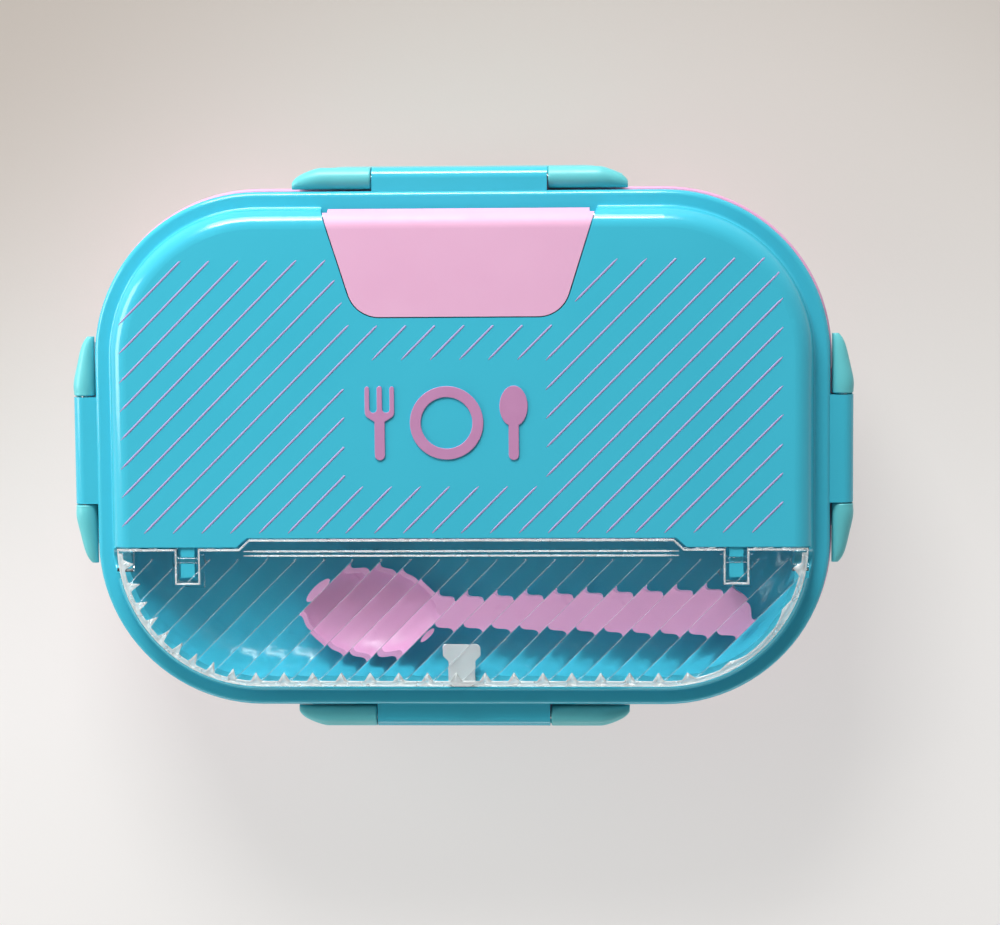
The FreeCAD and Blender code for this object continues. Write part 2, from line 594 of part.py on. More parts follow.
add_fillet(
    lid, "bay_rounding", bay_hollow, "bay_round",
    lambda edge: level(edge, bay_level) and edge.BoundBox.YMin < bay_back - 0.01,
)
for name, place, back in (("left", f"-({barrel_inner} - barrel_side)", True),
                          ("right", f"({barrel_inner} - barrel_side)", False)):
    relief_plan = new_sketch(lid, f"relief_{name}_side", "YZ_Plane", place)
    draw_circle(relief_plan, hinge_y, hinge_z, relief)
    add_feature(lid, "Pocket", f"relief_{name}", relief_plan, "barrel_in + rim_band", back=not back)
finger_top = f"({panel_top} - finger_drop)"
for name, side in (("left", "-hinge_place"), ("right", "hinge_place")):
    finger_plan = new_sketch(lid, f"finger_{name}_side", "YZ_Plane", side)
    draw_outline(
        finger_plan,
        box_corners(
            f"({hinge_y} - finger_front)",
            f"({bay_rear_wall} + bay_wall / 2)",
            f"({finger_top} - finger_height)",
            finger_top,
        ),
    )
    add_feature(lid, "Pad", f"finger_{name}", finger_plan, "finger_width", both=True)
    finger_bore = new_sketch(lid, f"finger_{name}_bore_side", "YZ_Plane", side)
    draw_circle(finger_bore, hinge_y, hinge_z, "hinge_bar + hinge_fit")
    add_feature(lid, "Pocket", f"finger_{name}_bore", finger_bore, "2 * finger_width", both=True)


# Side view of a latch block; the sign says which edge of the rim it stands on
def block_corners(sign, edge):
    inner = f"({sign}({edge} - lid_wall / 2))"
    outer = f"({sign}({edge} + latch_axis_out + latch_radius))"
    low = f"({latch_z} - latch_radius)"
    high = f"({latch_z} + latch_radius)"
    soft = "(latch_radius - block_flat / 2)"
    return [(inner, low, "0"), (outer, low, soft), (outer, high, soft), (inner, high, "0")]


for name, plane, sign, edge, block in (
    ("rear", "YZ_Plane", "", "lid_depth / 2", "long_block"),
    ("front", "YZ_Plane", "-", "lid_depth / 2", "long_block"),
    ("right", "XZ_Plane", "", "lid_length / 2", "short_block"),
    ("left", "XZ_Plane", "-", "lid_length / 2", "short_block"),
):
    block_plan = new_sketch(lid, f"block_{name}_side", plane)
    corners = block_corners(sign, edge)
    draw_outline(block_plan, corners if sign == "" else corners[::-1])
    add_feature(lid, "Pad", f"block_{name}", block_plan, block, both=True)
    bore_plan = new_sketch(lid, f"block_{name}_bore_side", plane)
    draw_circle(bore_plan, f"({sign}({edge} + latch_axis_out))", latch_z, "latch_pin")
    add_feature(lid, "Pocket", f"block_{name}_bore", bore_plan, f"2 * {block}", both=True)

# Silicone ring between the lid rim and the tray flange
gasket = new_body("lid_gasket")
gasket_base = f"({tray_top} + gasket_gap)"
gasket_plan = new_sketch(gasket, "gasket_plan", "XY_Plane", gasket_base)
draw_outline(gasket_plan, rim_corners("gasket_edge"))
draw_outline(gasket_plan, rim_corners("gasket_edge + gasket_width"))
add_feature(gasket, "Pad", "gasket_ring", gasket_plan, f"{rim_under} - {gasket_base}")

# Clear spoon cover with press ledge, hinge cheeks, hinge bars and ribbing lines
cover = new_body("spoon_cover")
add_panel(cover, "cover_panel")
under_plan = new_sketch(cover, "cover_under_plan", "XY_Plane", rim_top)
draw_outline(under_plan, box_corners(f"-{far}", far, f"-{far}", far))
add_feature(cover, "Pocket", "cover_under", under_plan, "panel_rise - cover_thick", back=True)
rear_plan = new_sketch(cover, "cover_rear_plan", "XY_Plane", panel_top)
ledge_rear = f"({cover_edge} + ledge_reach)"
ledge_short = "(ledge_half - ledge_slant)"
draw_outline(
    rear_plan,
    [
        (f"-{far}", cover_edge, "0"),
        ("-ledge_half", cover_edge, "0"),
        (f"-{ledge_short}", ledge_rear, "ledge_round"),
        (ledge_short, ledge_rear, "ledge_round"),
        ("ledge_half", cover_edge, "0"),
        (far, cover_edge, "0"),
        (far, far, "0"),
        (f"-{far}", far, "0"),
    ],
)
add_feature(cover, "Pocket", "cover_rear", rear_plan, "2 * panel_rise")
notch_half = "(finger_width / 2 + finger_side)"
notch_front = f"({hinge_y} - finger_front - finger_side - notch_extra)"
cheek_plan = new_sketch(cover, "cheek_plan", "XY_Plane", f"{cover_base} - cheek_drop")
notch_plan = new_sketch(cover, "notch_plan", "XY_Plane", panel_top)
for side in ("-hinge_place", "hinge_place"):
    draw_outline(
        cheek_plan,
        box_corners(
            f"({side} - {notch_half} - cheek)",
            f"({side} + {notch_half} + cheek)",
            f"({notch_front} - cheek)",
            f"({hinge_y} + hinge_bar + cheek_behind)",
        ),
    )
    draw_outline(
        notch_plan,
        box_corners(
            f"({side} - {notch_half})",
            f"({side} + {notch_half})",
            notch_front,
            f"({cover_edge} + ledge_reach)",
        ),
    )
add_feature(cover, "Pad", "cheeks", cheek_plan, "cheek_drop + cover_thick / 2")
add_feature(cover, "Pocket", "notches", notch_plan, "2 * panel_rise")
for name, side in (("left", "-hinge_place"), ("right", "hinge_place")):
    bar_plan = new_sketch(cover, f"bar_{name}_side", "YZ_Plane", side)
    draw_circle(bar_plan, hinge_y, hinge_z, "hinge_bar")
    add_feature(cover, "Pad", f"bar_{name}", bar_plan, f"2 * {notch_half} + cheek", both=True)
for name, place, back in (("left", f"-{barrel_inner}", True), ("right", barrel_inner, False)):
    barrel_plan = new_sketch(cover, f"barrel_{name}_side", "YZ_Plane", place)
    barrel_low = f"({hinge_z} - {barrel})"
    barrel_high = f"({cover_base} + cover_thick / 4)"
    barrel_soft = f"({barrel} * 0.8)"
    draw_outline(
        barrel_plan,
        [
            (f"({hinge_y} - {barrel})", barrel_low, barrel_soft),
            (f"({hinge_y} + {barrel})", barrel_low, barrel_soft),
            (f"({hinge_y} + {barrel})", barrel_high, "0"),
            (f"({hinge_y} - {barrel})", barrel_high, "0"),
        ],
    )
    add_feature(cover, "Pad", f"barrel_{name}", barrel_plan, f"{barrel_outer} - {barrel_inner}", back=back)
groove_plan = new_sketch(cover, "ribbing_plan", "XY_Plane", panel_top)
groove_low = "(-lid_depth / 2)"
groove_high = f"({cover_edge} - hinge_back)"
groove_start = "(-lid_length / 2 - 40)"
groove_run = f"({groove_high} - {groove_low})"
groove_step = "(groove_width * sqrt(2))"
draw_outline(
    groove_plan,
    [
        (groove_start, groove_low, "0"),
        (f"({groove_start} + {groove_step})", groove_low, "0"),
        (f"({groove_start} + {groove_step} + {groove_run})", groove_high, "0"),
        (f"({groove_start} + {groove_run})", groove_high, "0"),
    ],
)


# Outline of the shield-shaped catch in the cover's front edge
def shield_corners(grow):
    front = f"(-lid_depth / 2 + rim_band + catch_edge - ({grow}))"
    rear = f"(-lid_depth / 2 + rim_band + catch_edge + catch_long + ({grow}))"
    half = f"(catch_half + ({grow}))"
    wide = f"(catch_half + catch_ear + ({grow}))"
    step = f"({rear} - catch_half + catch_step)"
    return [
        (f"-{half}", front, "catch_half / 2"),
        (half, front, "catch_half / 2"),
        (half, f"({step} - catch_ear)", "0"),
        (wide, step, "catch_soft"),
        (wide, rear, "catch_ear"),
        (f"-{wide}", rear, "catch_ear"),
        (f"-{wide}", step, "catch_soft"),
        (f"-{half}", f"({step} - catch_ear)", "0"),
    ]


catch_seat_plan = new_sketch(cover, "catch_seat_plan", "XY_Plane", cover_base)
draw_outline(catch_seat_plan, shield_corners("pin_fit"))
add_feature(cover, "Pocket", "catch_seat", catch_seat_plan, "catch_sunk", back=True)
groove = add_feature(cover, "Pocket", "ribbing_line", groove_plan, "groove_deep")
ribbing = cover.newObject("PartDesign::LinearPattern", "ribbing")
ribbing.Originals = [groove]
ribbing.Direction = (groove_plan, ["H_Axis"])
ribbing.Occurrences = 32
drive(ribbing, "Length", "groove_pitch * 31")
cover.Tip = ribbing
doc.recompute()

# Milky catch set into the cover
catch = new_body("cover_catch")
shield_plan = new_sketch(catch, "shield_plan", "XY_Plane", cover_base)
draw_outline(shield_plan, shield_corners("0"))
add_feature(catch, "Pad", "shield", shield_plan, "catch_sunk")
nose_plan = new_sketch(catch, "nose_plan", "XY_Plane", cover_base)
nose_front = "(-lid_depth / 2 + bay_inset + bay_slope * catch_nose / bay_depth + nose_gap)"
nose_half = "(catch_half - nose_side)"
draw_outline(
    nose_plan,
    box_corners(f"-{nose_half}", nose_half, nose_front, f"({nose_front} + nose_thick)", "nose_side"),
)
add_feature(catch, "Pad", "nose", nose_plan, "catch_nose", back=True)

# Spoon with a hollow bowl and an arched, widening handle
spoon = new_body("spoon")
drive(spoon, "Placement.Base.x", "lid_length / 2 - bay_inset - bay_slope - spoon_end - handle_long")
drive(spoon, "Placement.Base.y", "-lid_depth / 2 + bay_inset + bay_slope + spoon_front")
drive(spoon, "Placement.Base.z", f"{bay_floor} + spoon_rest")
handle_side = new_sketch(spoon, "handle_side", "XZ_Plane")
bend = "(bowl_long + handle_bend)"
draw_outline(
    handle_side,
    [
        ("(bowl_long - handle_root)", "(bowl_deep - handle_thick)", "0"),
        (bend, "(bowl_deep - handle_thick + handle_lift)", "handle_arch"),
        ("handle_long", "handle_rise", "0"),
        ("handle_long", "(handle_rise + handle_thick)", "0"),
        (bend, "(bowl_deep + handle_lift)", "handle_arch"),
        ("(bowl_long - handle_root)", "bowl_deep", "0"),
    ],
)
add_feature(spoon, "Pad", "handle", handle_side, "3 * handle_end", both=True)
handle_plan = new_sketch(spoon, "handle_plan", "XY_Plane", "2 * bowl_deep")
draw_outline(handle_plan, box_corners("-handle_long", "2 * handle_long", "-handle_long", "handle_long"))
draw_outline(
    handle_plan,
    [
        ("-bowl_long", "-handle_neck", "0"),
        (bend, "-handle_neck", "handle_sweep"),
        ("(handle_long - handle_tip)", "-handle_end", "handle_sweep"),
        ("handle_long", "-handle_end", "handle_end - handle_rest"),
        ("handle_long", "handle_end", "handle_end - handle_rest"),
        ("(handle_long - handle_tip)", "handle_end", "handle_sweep"),
        (bend, "handle_neck", "handle_sweep"),
        ("-bowl_long", "handle_neck", "0"),
    ],
)
add_feature(spoon, "Pocket", "handle_outline", handle_plan, "4 * bowl_deep")
for kind, label, shrink in (("Additive", "bowl_outer", "0"), ("Subtractive", "bowl_inner", "spoon_sheet")):
    bowl = spoon.newObject(f"PartDesign::{kind}Ellipsoid", label)
    ground = [item for item in spoon.Origin.OriginFeatures if item.Role == "XY_Plane"][0]
    bowl.AttachmentSupport = [(ground, "")]
    bowl.MapMode = "FlatFace"
    drive(bowl, "AttachmentOffset.Base.z", "bowl_deep")
    drive(bowl, "Radius1", f"bowl_deep - {shrink}")
    drive(bowl, "Radius2", f"bowl_long - {shrink}")
    drive(bowl, "Radius3", f"bowl_half - {shrink}")
    bowl.Angle1 = -90
    bowl.Angle2 = 0 if kind == "Additive" else 90
    bowl.Angle3 = 360
    doc.recompute()

# Pink flap over the steam hole, hinged along the panel's rear wall
flap = new_body("vent_flap")
add_panel(flap, "flap_panel")
flap_plan = new_sketch(flap, "flap_plan", "XY_Plane", panel_top)
draw_outline(flap_plan, box_corners(f"-{far}", far, f"-{far}", far))
draw_outline(flap_plan, flap_corners("0", f"({panel_rear} + rim_band / 2)"))
add_feature(flap, "Pocket", "flap_outline", flap_plan, "2 * panel_rise")
lip_front = f"({panel_rear} - flap_lip)"
flap_under_plan = new_sketch(flap, "flap_under_plan", "XY_Plane", rim_top)
draw_outline(flap_under_plan, box_corners(f"-{far}", far, "0", lip_front))
add_feature(flap, "Pocket", "flap_under", flap_under_plan, "panel_rise - flap_thick", back=True)
lip_under_plan = new_sketch(flap, "lip_under_plan", "XY_Plane", rim_top)
draw_outline(lip_under_plan, box_corners(f"-{far}", far, f"({lip_front} - 1)", far))
add_feature(flap, "Pocket", "lip_under", lip_under_plan, "flap_lip_rise", back=True)
# The lip is narrower than the flap, so that its ends turn clear of the slanting seat
lip_half = "(flap_rear_half - (flap_rear_half - flap_front_half) / flap_length * flap_lip - flap_gap)"
lip_end_plan = new_sketch(flap, "lip_end_plan", "XY_Plane", rim_top)
draw_outline(lip_end_plan, box_corners(lip_half, far, f"({lip_front} - 1)", far))
draw_outline(lip_end_plan, box_corners(f"-{far}", f"-{lip_half}", f"({lip_front} - 1)", far))
add_feature(flap, "Pocket", "lip_ends", lip_end_plan, "panel_rise - flap_thick", back=True)
flap_hole_plan = new_sketch(flap, "flap_hole_plan", "YZ_Plane")
draw_circle(flap_hole_plan, flap_y, flap_z, "flap_pin + pin_fit")
add_feature(flap, "Pocket", "flap_hole", flap_hole_plan, far, both=True)

# Plug under the flap: a flange on the flap's underside and a tapering stem
plug = new_body("vent_plug")
drive(plug, "Placement.Base.y", vent_y)
plug_side = new_sketch(plug, "plug_side", "XZ_Plane")
flap_under_z = f"({panel_top} - flap_thick)"
stem = "(vent_hole - plug_fit)"
draw_outline(
    plug_side,
    [
        ("0", f"({rim_top} - plug_tip)", "0"),
        (f"({stem} - plug_lead)", f"({rim_top} - plug_tip)", "plug_soft"),
        (stem, f"({rim_top} + plug_rest)", "0"),
        ("plug_flange", f"({rim_top} + plug_rest)", "plug_soft"),
        ("plug_flange", f"({rim_top} + plug_rest + plug_edge)", "plug_soft"),
        (stem, f"({rim_top} + plug_rest + plug_edge + plug_cone)", "0"),
        (stem, flap_under_z, "0"),
        ("0", flap_under_z, "0"),
    ],
)
plug_turn = plug.newObject("PartDesign::Revolution", "plug_turn")
plug_turn.Profile = plug_side
plug_turn.ReferenceAxis = (plug_side, ["V_Axis"])
plug_turn.Angle = 360
doc.recompute()


# Curve of a latch's end: share of its length still to go, and share of the radius it has moved in
tip_curve = ((1, 0), (0.6, 0.12), (0.27, 0.33), (0.09, 0.53), (0.02, 0.68))


# A latch in its own frame: length along X, outwards along Y, up along Z
def add_latch(label, length, block, tip, turn, across, along):
    body = new_body(label)
    body.Placement = FreeCAD.Placement(FreeCAD.Vector(), FreeCAD.Rotation(FreeCAD.Vector(0, 0, 1), turn))
    drive(body, "Placement.Base.x", across)
    drive(body, "Placement.Base.y", along)
    outer = "(latch_axis_out + latch_radius)"
    inner = f"({outer} - latch_plate)"
    straight = f"({length} / 2 - {tip})"
    half = f"({length} / 2 - {tip} / 5)"
    step = f"({block} / 2 + ear_gap)"
    low = f"({latch_z} - latch_drop)"
    swing = f"({latch_z} - latch_swing)"
    plate_plan = new_sketch(body, f"{label}_plate_plan", "XY_Plane", low)
    draw_outline(
        plate_plan,
        [
            (f"-{half}", inner, "0"),
            (half, inner, "0"),
            (straight, outer, f"(3 * {tip})"),
            (f"-{straight}", outer, f"(3 * {tip})"),
        ],
    )
    plate = add_feature(body, "Pad", f"{label}_plate", plate_plan, "latch_drop")
    foot_level = value(low)
    inner_face = value(inner)
    add_fillet(
        body, f"{label}_plate_rounding", plate, "latch_round",
        lambda edge: level(edge, foot_level) and edge.BoundBox.YMax > inner_face + 0.01,
    )
    corner_plan = new_sketch(body, f"{label}_corner_side", "XZ_Plane")
    below = f"({low} - latch_drop)"
    above = f"({latch_z} + latch_drop)"
    draw_outline(corner_plan, box_corners(f"-{length}", length, below, above))
    draw_outline(
        corner_plan,
        [
            (f"-{length} / 2", low, "latch_corner"),
            (f"{length} / 2", low, "latch_corner"),
            (f"{length} / 2", f"({latch_z} + latch_radius)", "0"),
            (f"-{length} / 2", f"({latch_z} + latch_radius)", "0"),
        ],
    )
    add_feature(body, "Pocket", f"{label}_corners", corner_plan, length, both=True)
    notch_side = new_sketch(body, f"{label}_notch_side", "XZ_Plane")
    draw_outline(notch_side, box_corners(f"-{step}", step, swing, f"({latch_z} + latch_radius)"))
    add_feature(body, "Pocket", f"{label}_notch", notch_side, length, both=True)
    ear_plan = new_sketch(body, f"{label}_ear_plan", "XY_Plane", latch_z, "0", "latch_axis_out")
    for sign in ("", "-"):
        corners = [
            (f"({sign}{step})", "0", "0"),
            (f"({sign}{straight})", "0", "0"),
            (f"({sign}{straight})", "latch_radius", "0"),
            (f"({sign}{step})", "latch_radius", "latch_round / 2"),
        ]
        draw_outline(ear_plan, corners if sign == "" else corners[::-1])
    ears = body.newObject("PartDesign::Revolution", f"{label}_ears")
    ears.Profile = ear_plan
    ears.ReferenceAxis = (ear_plan, ["H_Axis"])
    ears.Angle = 360
    doc.recompute()
    # The ends curve towards the rim and keep inside the circle that the ears turn in
    for name, sign in (("first", "-"), ("last", "")):
        sections = []
        for index, (left, shift) in enumerate(tip_curve):
            place = f"({sign}({length} / 2 - {left} * {tip}))"
            section = new_sketch(body, f"{label}_{name}_tip_{index}", "YZ_Plane", place)
            middle = f"(latch_axis_out - {shift} * latch_radius)"
            draw_circle(section, middle, latch_z, f"({1 - shift} * latch_radius)")
            sections.append(section)
        ending = body.newObject("PartDesign::AdditiveLoft", f"{label}_{name}_tip")
        ending.Profile = sections[0]
        ending.Sections = sections[1:]
        doc.recompute()
    bore_plan = new_sketch(body, f"{label}_bore_side", "YZ_Plane")
    draw_circle(bore_plan, "latch_axis_out", latch_z, "latch_pin + pin_fit")
    bore_long = f"{block} + 2 * latch_pin_in + bore_extra"
    add_feature(body, "Pocket", f"{label}_bore", bore_plan, bore_long, both=True)
    hook_plan = new_sketch(body, f"{label}_hook_side", "YZ_Plane")
    hook_top = f"({catch_under} - hook_gap)"
    root = f"({outer} - latch_plate / 2)"
    draw_outline(
        hook_plan,
        [
            ("hook_tip", f"({hook_top} - hook_thick / 2)", "hook_soft"),
            (f"({outer} - latch_plate)", f"({hook_top} - hook_thick)", "0"),
            (root, f"({hook_top} - hook_thick)", "0"),
            (root, hook_top, "0"),
            ("hook_tip", hook_top, "hook_soft"),
        ],
    )
    add_feature(body, "Pad", f"{label}_hook", hook_plan, f"{block}", both=True)
    return body


add_latch("latch_rear", "long_latch", "long_block", "long_tip", 0, "0", "lid_depth / 2")
add_latch("latch_front", "long_latch", "long_block", "long_tip", 180, "0", "-lid_depth / 2")
add_latch("latch_right", "short_latch", "short_block", "short_tip", -90, "lid_length / 2", "0")
add_latch("latch_left", "short_latch", "short_block", "short_tip", 90, "-lid_length / 2", "0")


# A pin along X or Y through the given middle
def add_pin(label, radius, length, along_x, across, along, height):
    pin = doc.addObject("Part::Cylinder", label)
    pin.Label = label
    drive(pin, "Radius", radius)
    drive(pin, "Height", length)
    axis, angle = (FreeCAD.Vector(0, 1, 0), 90) if along_x else (FreeCAD.Vector(1, 0, 0), -90)
    pin.Placement = FreeCAD.Placement(FreeCAD.Vector(), FreeCAD.Rotation(axis, angle))
    drive(pin, "Placement.Base.x", f"({across}) - ({length}) / 2" if along_x else across)
    drive(pin, "Placement.Base.y", along if along_x else f"({along}) - ({length}) / 2")
    drive(pin, "Placement.Base.z", height)
    return pin


rear_axis = "(lid_depth / 2 + latch_axis_out)"
side_axis = "(lid_length / 2 + latch_axis_out)"
long_pin = "(long_block + 2 * latch_pin_in)"
short_pin = "(short_block + 2 * latch_pin_in)"
pins = [
    add_pin("latch_pin_rear", "latch_pin", long_pin, True, "0", rear_axis, latch_z),
    add_pin("latch_pin_front", "latch_pin", long_pin, True, "0", f"-{rear_axis}", latch_z),
    add_pin("latch_pin_right", "latch_pin", short_pin, False, side_axis, "0", latch_z),
    add_pin("latch_pin_left", "latch_pin", short_pin, False, f"-{side_axis}", "0", latch_z),
    add_pin("vent_flap_pin", "flap_pin", f"2 * {flap_pin_half}", True, "0", flap_y, flap_z),
]
doc.recompute()

# Every piece is checked, then written to its own file
failed = [item.Label for item in doc.Objects if "Invalid" in item.State or "Error" in item.State]
if failed:
    raise RuntimeError(f"did not build: {failed}")
bodies = [item for item in doc.Objects if item.TypeId == "PartDesign::Body"]
pieces = [item for item in bodies if item not in (tray, hollow)] + [pressed] + pins
os.makedirs("parts", exist_ok=True)
for piece in pieces:
    shape = piece.Shape
    if shape.isNull() or not shape.isValid() or len(shape.Solids) != 1:
        raise RuntimeError(f"{piece.Label} is not one sound solid")
    shape.exportStep(f"parts/{piece.Label}.step")
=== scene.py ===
import math

import bmesh
import bpy
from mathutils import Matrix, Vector


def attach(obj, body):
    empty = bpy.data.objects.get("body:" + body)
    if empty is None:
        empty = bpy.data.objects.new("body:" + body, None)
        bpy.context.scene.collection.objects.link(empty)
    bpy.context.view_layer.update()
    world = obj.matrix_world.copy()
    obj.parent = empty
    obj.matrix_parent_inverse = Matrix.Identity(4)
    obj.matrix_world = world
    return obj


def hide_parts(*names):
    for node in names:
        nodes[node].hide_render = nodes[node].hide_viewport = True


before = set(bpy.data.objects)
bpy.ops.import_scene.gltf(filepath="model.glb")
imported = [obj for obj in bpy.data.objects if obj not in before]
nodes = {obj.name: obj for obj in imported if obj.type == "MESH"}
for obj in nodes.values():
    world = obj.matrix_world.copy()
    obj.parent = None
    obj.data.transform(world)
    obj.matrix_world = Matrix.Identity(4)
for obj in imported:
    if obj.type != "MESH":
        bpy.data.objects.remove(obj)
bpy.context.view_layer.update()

mm = 0.001
tiny = 1e-6  # metres
print("frame loaded:", len(nodes), "nodes")

# Sizes of the lid that the added pieces sit on, in millimetres
lidForm = {
    "cornerX": 64.0,      # middle of the front corner arcs
    "cornerY": -29.5,
    "halfLength": 110.6,  # raised panel
    "halfDepth": 76.1,
    "corner": 46.6,
    "top": 58.0,
    "crown": 6.0,         # rounding of the panel's upper edge
}


def linearColour(hexText):
    channels = [int(hexText[i:i + 2], 16) / 255 for i in (0, 2, 4)]
    return (*[c / 12.92 if c <= 0.04045 else ((c + 0.055) / 1.055) ** 2.4 for c in channels], 1.0)


def addNode(tree, kind, settings=None, inputs=None):
    node = tree.nodes.new(kind)
    for name, setting in (settings or {}).items():
        setattr(node, name, setting)
    for name, source in (inputs or {}).items():
        if isinstance(source, bpy.types.NodeSocket):
            tree.links.new(source, node.inputs[name])
        else:
            node.inputs[name].default_value = source
    return node


def newMaterial(name):
    material = bpy.data.materials.new(name)
    material.use_nodes = True
    material.node_tree.nodes.clear()
    return material, material.node_tree


def evaluatedMesh(item):
    bpy.context.view_layer.update()
    graph = bpy.context.evaluated_depsgraph_get()
    return bpy.data.meshes.new_from_object(item.evaluated_get(graph))


def meshObject(name, points, faces):
    mesh = bpy.data.meshes.new(name)
    mesh.from_pydata([Vector(p) * mm for p in points], [], faces)
    mesh.update()
    item = bpy.data.objects.new(name, mesh)
    bpy.context.scene.collection.objects.link(item)
    return item


def addPiece(name, points, faces, material, body):
    piece = meshObject(name, points, faces)
    piece.data.materials.append(material)
    piece.data.polygons.foreach_set("use_smooth", [True] * len(faces))
    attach(piece, body)
    return piece


# Moulded plastic: an even pigment with a faint flow cloud, a skin that is nearly
# smooth, and a gloss that wanders a little from place to place
def mouldedPlastic(name, look):
    material, tree = newMaterial(name)
    spot = addNode(tree, "ShaderNodeTexCoord").outputs["Object"]
    flow = addNode(tree, "ShaderNodeTexNoise", inputs={
        "Vector": spot, "Scale": 1 / (look["flow"] * mm), "Detail": 3.0, "Roughness": 0.55})
    pigment = addNode(tree, "ShaderNodeMix", {"data_type": "RGBA"}, {
        "Factor": flow.outputs["Fac"],
        "A": linearColour(look["deep"]), "B": linearColour(look["pale"])})
    rub = addNode(tree, "ShaderNodeTexNoise", inputs={
        "Vector": spot, "Scale": 1 / (look["rub"] * mm), "Detail": 5.0, "Roughness": 0.65})
    gloss = addNode(tree, "ShaderNodeMapRange", inputs={
        "Value": rub.outputs["Fac"], "From Min": 0.3, "From Max": 0.7,
        "To Min": look["rough"] * 0.85, "To Max": look["rough"] * 1.2})
    grain = addNode(tree, "ShaderNodeTexNoise", inputs={
        "Vector": spot, "Scale": 1 / (look["grain"] * mm), "Detail": 2.0, "Roughness": 0.5})
    skin = addNode(tree, "ShaderNodeBump", inputs={
        "Height": grain.outputs["Fac"], "Strength": look["depth"],
        "Distance": look["grain"] * mm * 0.1})
    shader = addNode(tree, "ShaderNodeBsdfPrincipled", inputs={
        "Base Color": pigment.outputs["Result"], "Roughness": gloss.outputs["Result"],
        "Normal": skin.outputs["Normal"], "IOR": look["ior"],
        "Subsurface Weight": look["bleed"], "Subsurface Radius": (0.9, 0.6, 0.6),
        "Subsurface Scale": 0.0012})
    addNode(tree, "ShaderNodeOutputMaterial", inputs={"Surface": shader.outputs["BSDF"]})
    return material


# ABS from a polished mould: clean, wet-looking highlights on an even cyan
lidAbs = mouldedPlastic("ABS_cyan_polished_mould", {
    "deep": "3DB7D1", "pale": "46C1DA", "flow": 60, "rub": 9, "rough": 0.15,
    "grain": 3.0, "depth": 0.05, "ior": 1.53, "bleed": 0.0})
# Polypropylene from a satin mould: greener than the lid, with wide soft highlights
latchPp = mouldedPlastic("PP_turquoise_satin_mould", {
    "deep": "60C3CA", "pale": "6DCED4", "flow": 30, "rub": 6, "rough": 0.36,
    "grain": 0.7, "depth": 0.12, "ior": 1.49, "bleed": 0.05})
# Polypropylene from a satin mould: soft pink that lets a little light in
tubPp = mouldedPlastic("PP_pink_satin_mould", {
    "deep": "DB9DC5", "pale": "E3ABCE", "flow": 50, "rub": 8, "rough": 0.38,
    "grain": 0.8, "depth": 0.12, "ior": 1.49, "bleed": 0.06})
# Polypropylene from a spark-eroded mould: fine matt grain, no sharp highlight
flapPp = mouldedPlastic("PP_pink_spark_grain", {
    "deep": "E2ABCD", "pale": "EAB8D7", "flow": 30, "rub": 5, "rough": 0.5,
    "grain": 0.6, "depth": 0.3, "ior": 1.49, "bleed": 0.06})
# Polypropylene from a polished mould: smooth pink with a soft shine
spoonPp = mouldedPlastic("PP_pink_polished_mould", {
    "deep": "E8A2CE", "pale": "EFB0D7", "flow": 25, "rub": 6, "rough": 0.3,
    "grain": 1.2, "depth": 0.08, "ior": 1.49, "bleed": 0.06})
# Silicone rubber, pressed: milky, soft and dull with a faint dusty bloom
siliconeRubber = mouldedPlastic("silicone_white_pressed", {
    "deep": "DCE2E2", "pale": "EEF1F0", "flow": 12, "rub": 4, "rough": 0.55,
    "grain": 0.6, "depth": 0.2, "ior": 1.42, "bleed": 0.3})
# Natural polypropylene, thin: milky and see-through at its edges
catchPp = mouldedPlastic("PP_natural_milky", {
    "deep": "CBD0D2", "pale": "DADDDE", "flow": 8, "rub": 3, "rough": 0.35,
    "grain": 0.8, "depth": 0.12, "ior": 1.49, "bleed": 0.35})
# Pad-printing ink over moulded ribs: thin, so the cyan below cools it to lavender
ribInk = mouldedPlastic("ink_lavender_pad_printed", {
    "deep": "A297C9", "pale": "ADA3D1", "flow": 6, "rub": 2, "rough": 0.4,
    "grain": 0.4, "depth": 0.2, "ior": 1.49, "bleed": 0.0})
# Screen-printing ink: laid on thick, a flat mauve pink with a soft eggshell shine
signInk = mouldedPlastic("ink_mauve_pink_screen_printed", {
    "deep": "BC82AE", "pale": "C68EB9", "flow": 6, "rub": 2, "rough": 0.42,
    "grain": 0.4, "depth": 0.2, "ior": 1.49, "bleed": 0.0})


# Stainless steel, drawn and then brushed one way: long fine lines that stretch every
# highlight across them; the lines are drawn coarser than life so that they show
def brushedSteel(name, look):
    material, tree = newMaterial(name)
    spot = addNode(tree, "ShaderNodeTexCoord").outputs["Object"]
    along = addNode(tree, "ShaderNodeMapping", inputs={"Vector": spot, "Scale": look["stretch"]})
    lines = addNode(tree, "ShaderNodeTexNoise", inputs={
        "Vector": along.outputs["Vector"], "Scale": 1 / (look["line"] * mm),
        "Detail": 4.0, "Roughness": 0.6})
    tone = addNode(tree, "ShaderNodeMix", {"data_type": "RGBA"}, {
        "Factor": lines.outputs["Fac"],
        "A": linearColour(look["deep"]), "B": linearColour(look["pale"])})
    rough = addNode(tree, "ShaderNodeMapRange", inputs={
        "Value": lines.outputs["Fac"], "From Min": 0.3, "From Max": 0.7,
        "To Min": look["rough"] * 0.8, "To Max": look["rough"] * 1.25})
    skin = addNode(tree, "ShaderNodeBump", inputs={
        "Height": lines.outputs["Fac"], "Strength": 0.15, "Distance": 0.00003})
    shader = addNode(tree, "ShaderNodeBsdfPrincipled", inputs={
        "Base Color": tone.outputs["Result"], "Metallic": 1.0, "Roughness": rough.outputs["Result"],
        "Normal": skin.outputs["Normal"]})
    addNode(tree, "ShaderNodeOutputMaterial", inputs={"Surface": shader.outputs["BSDF"]})
    return material


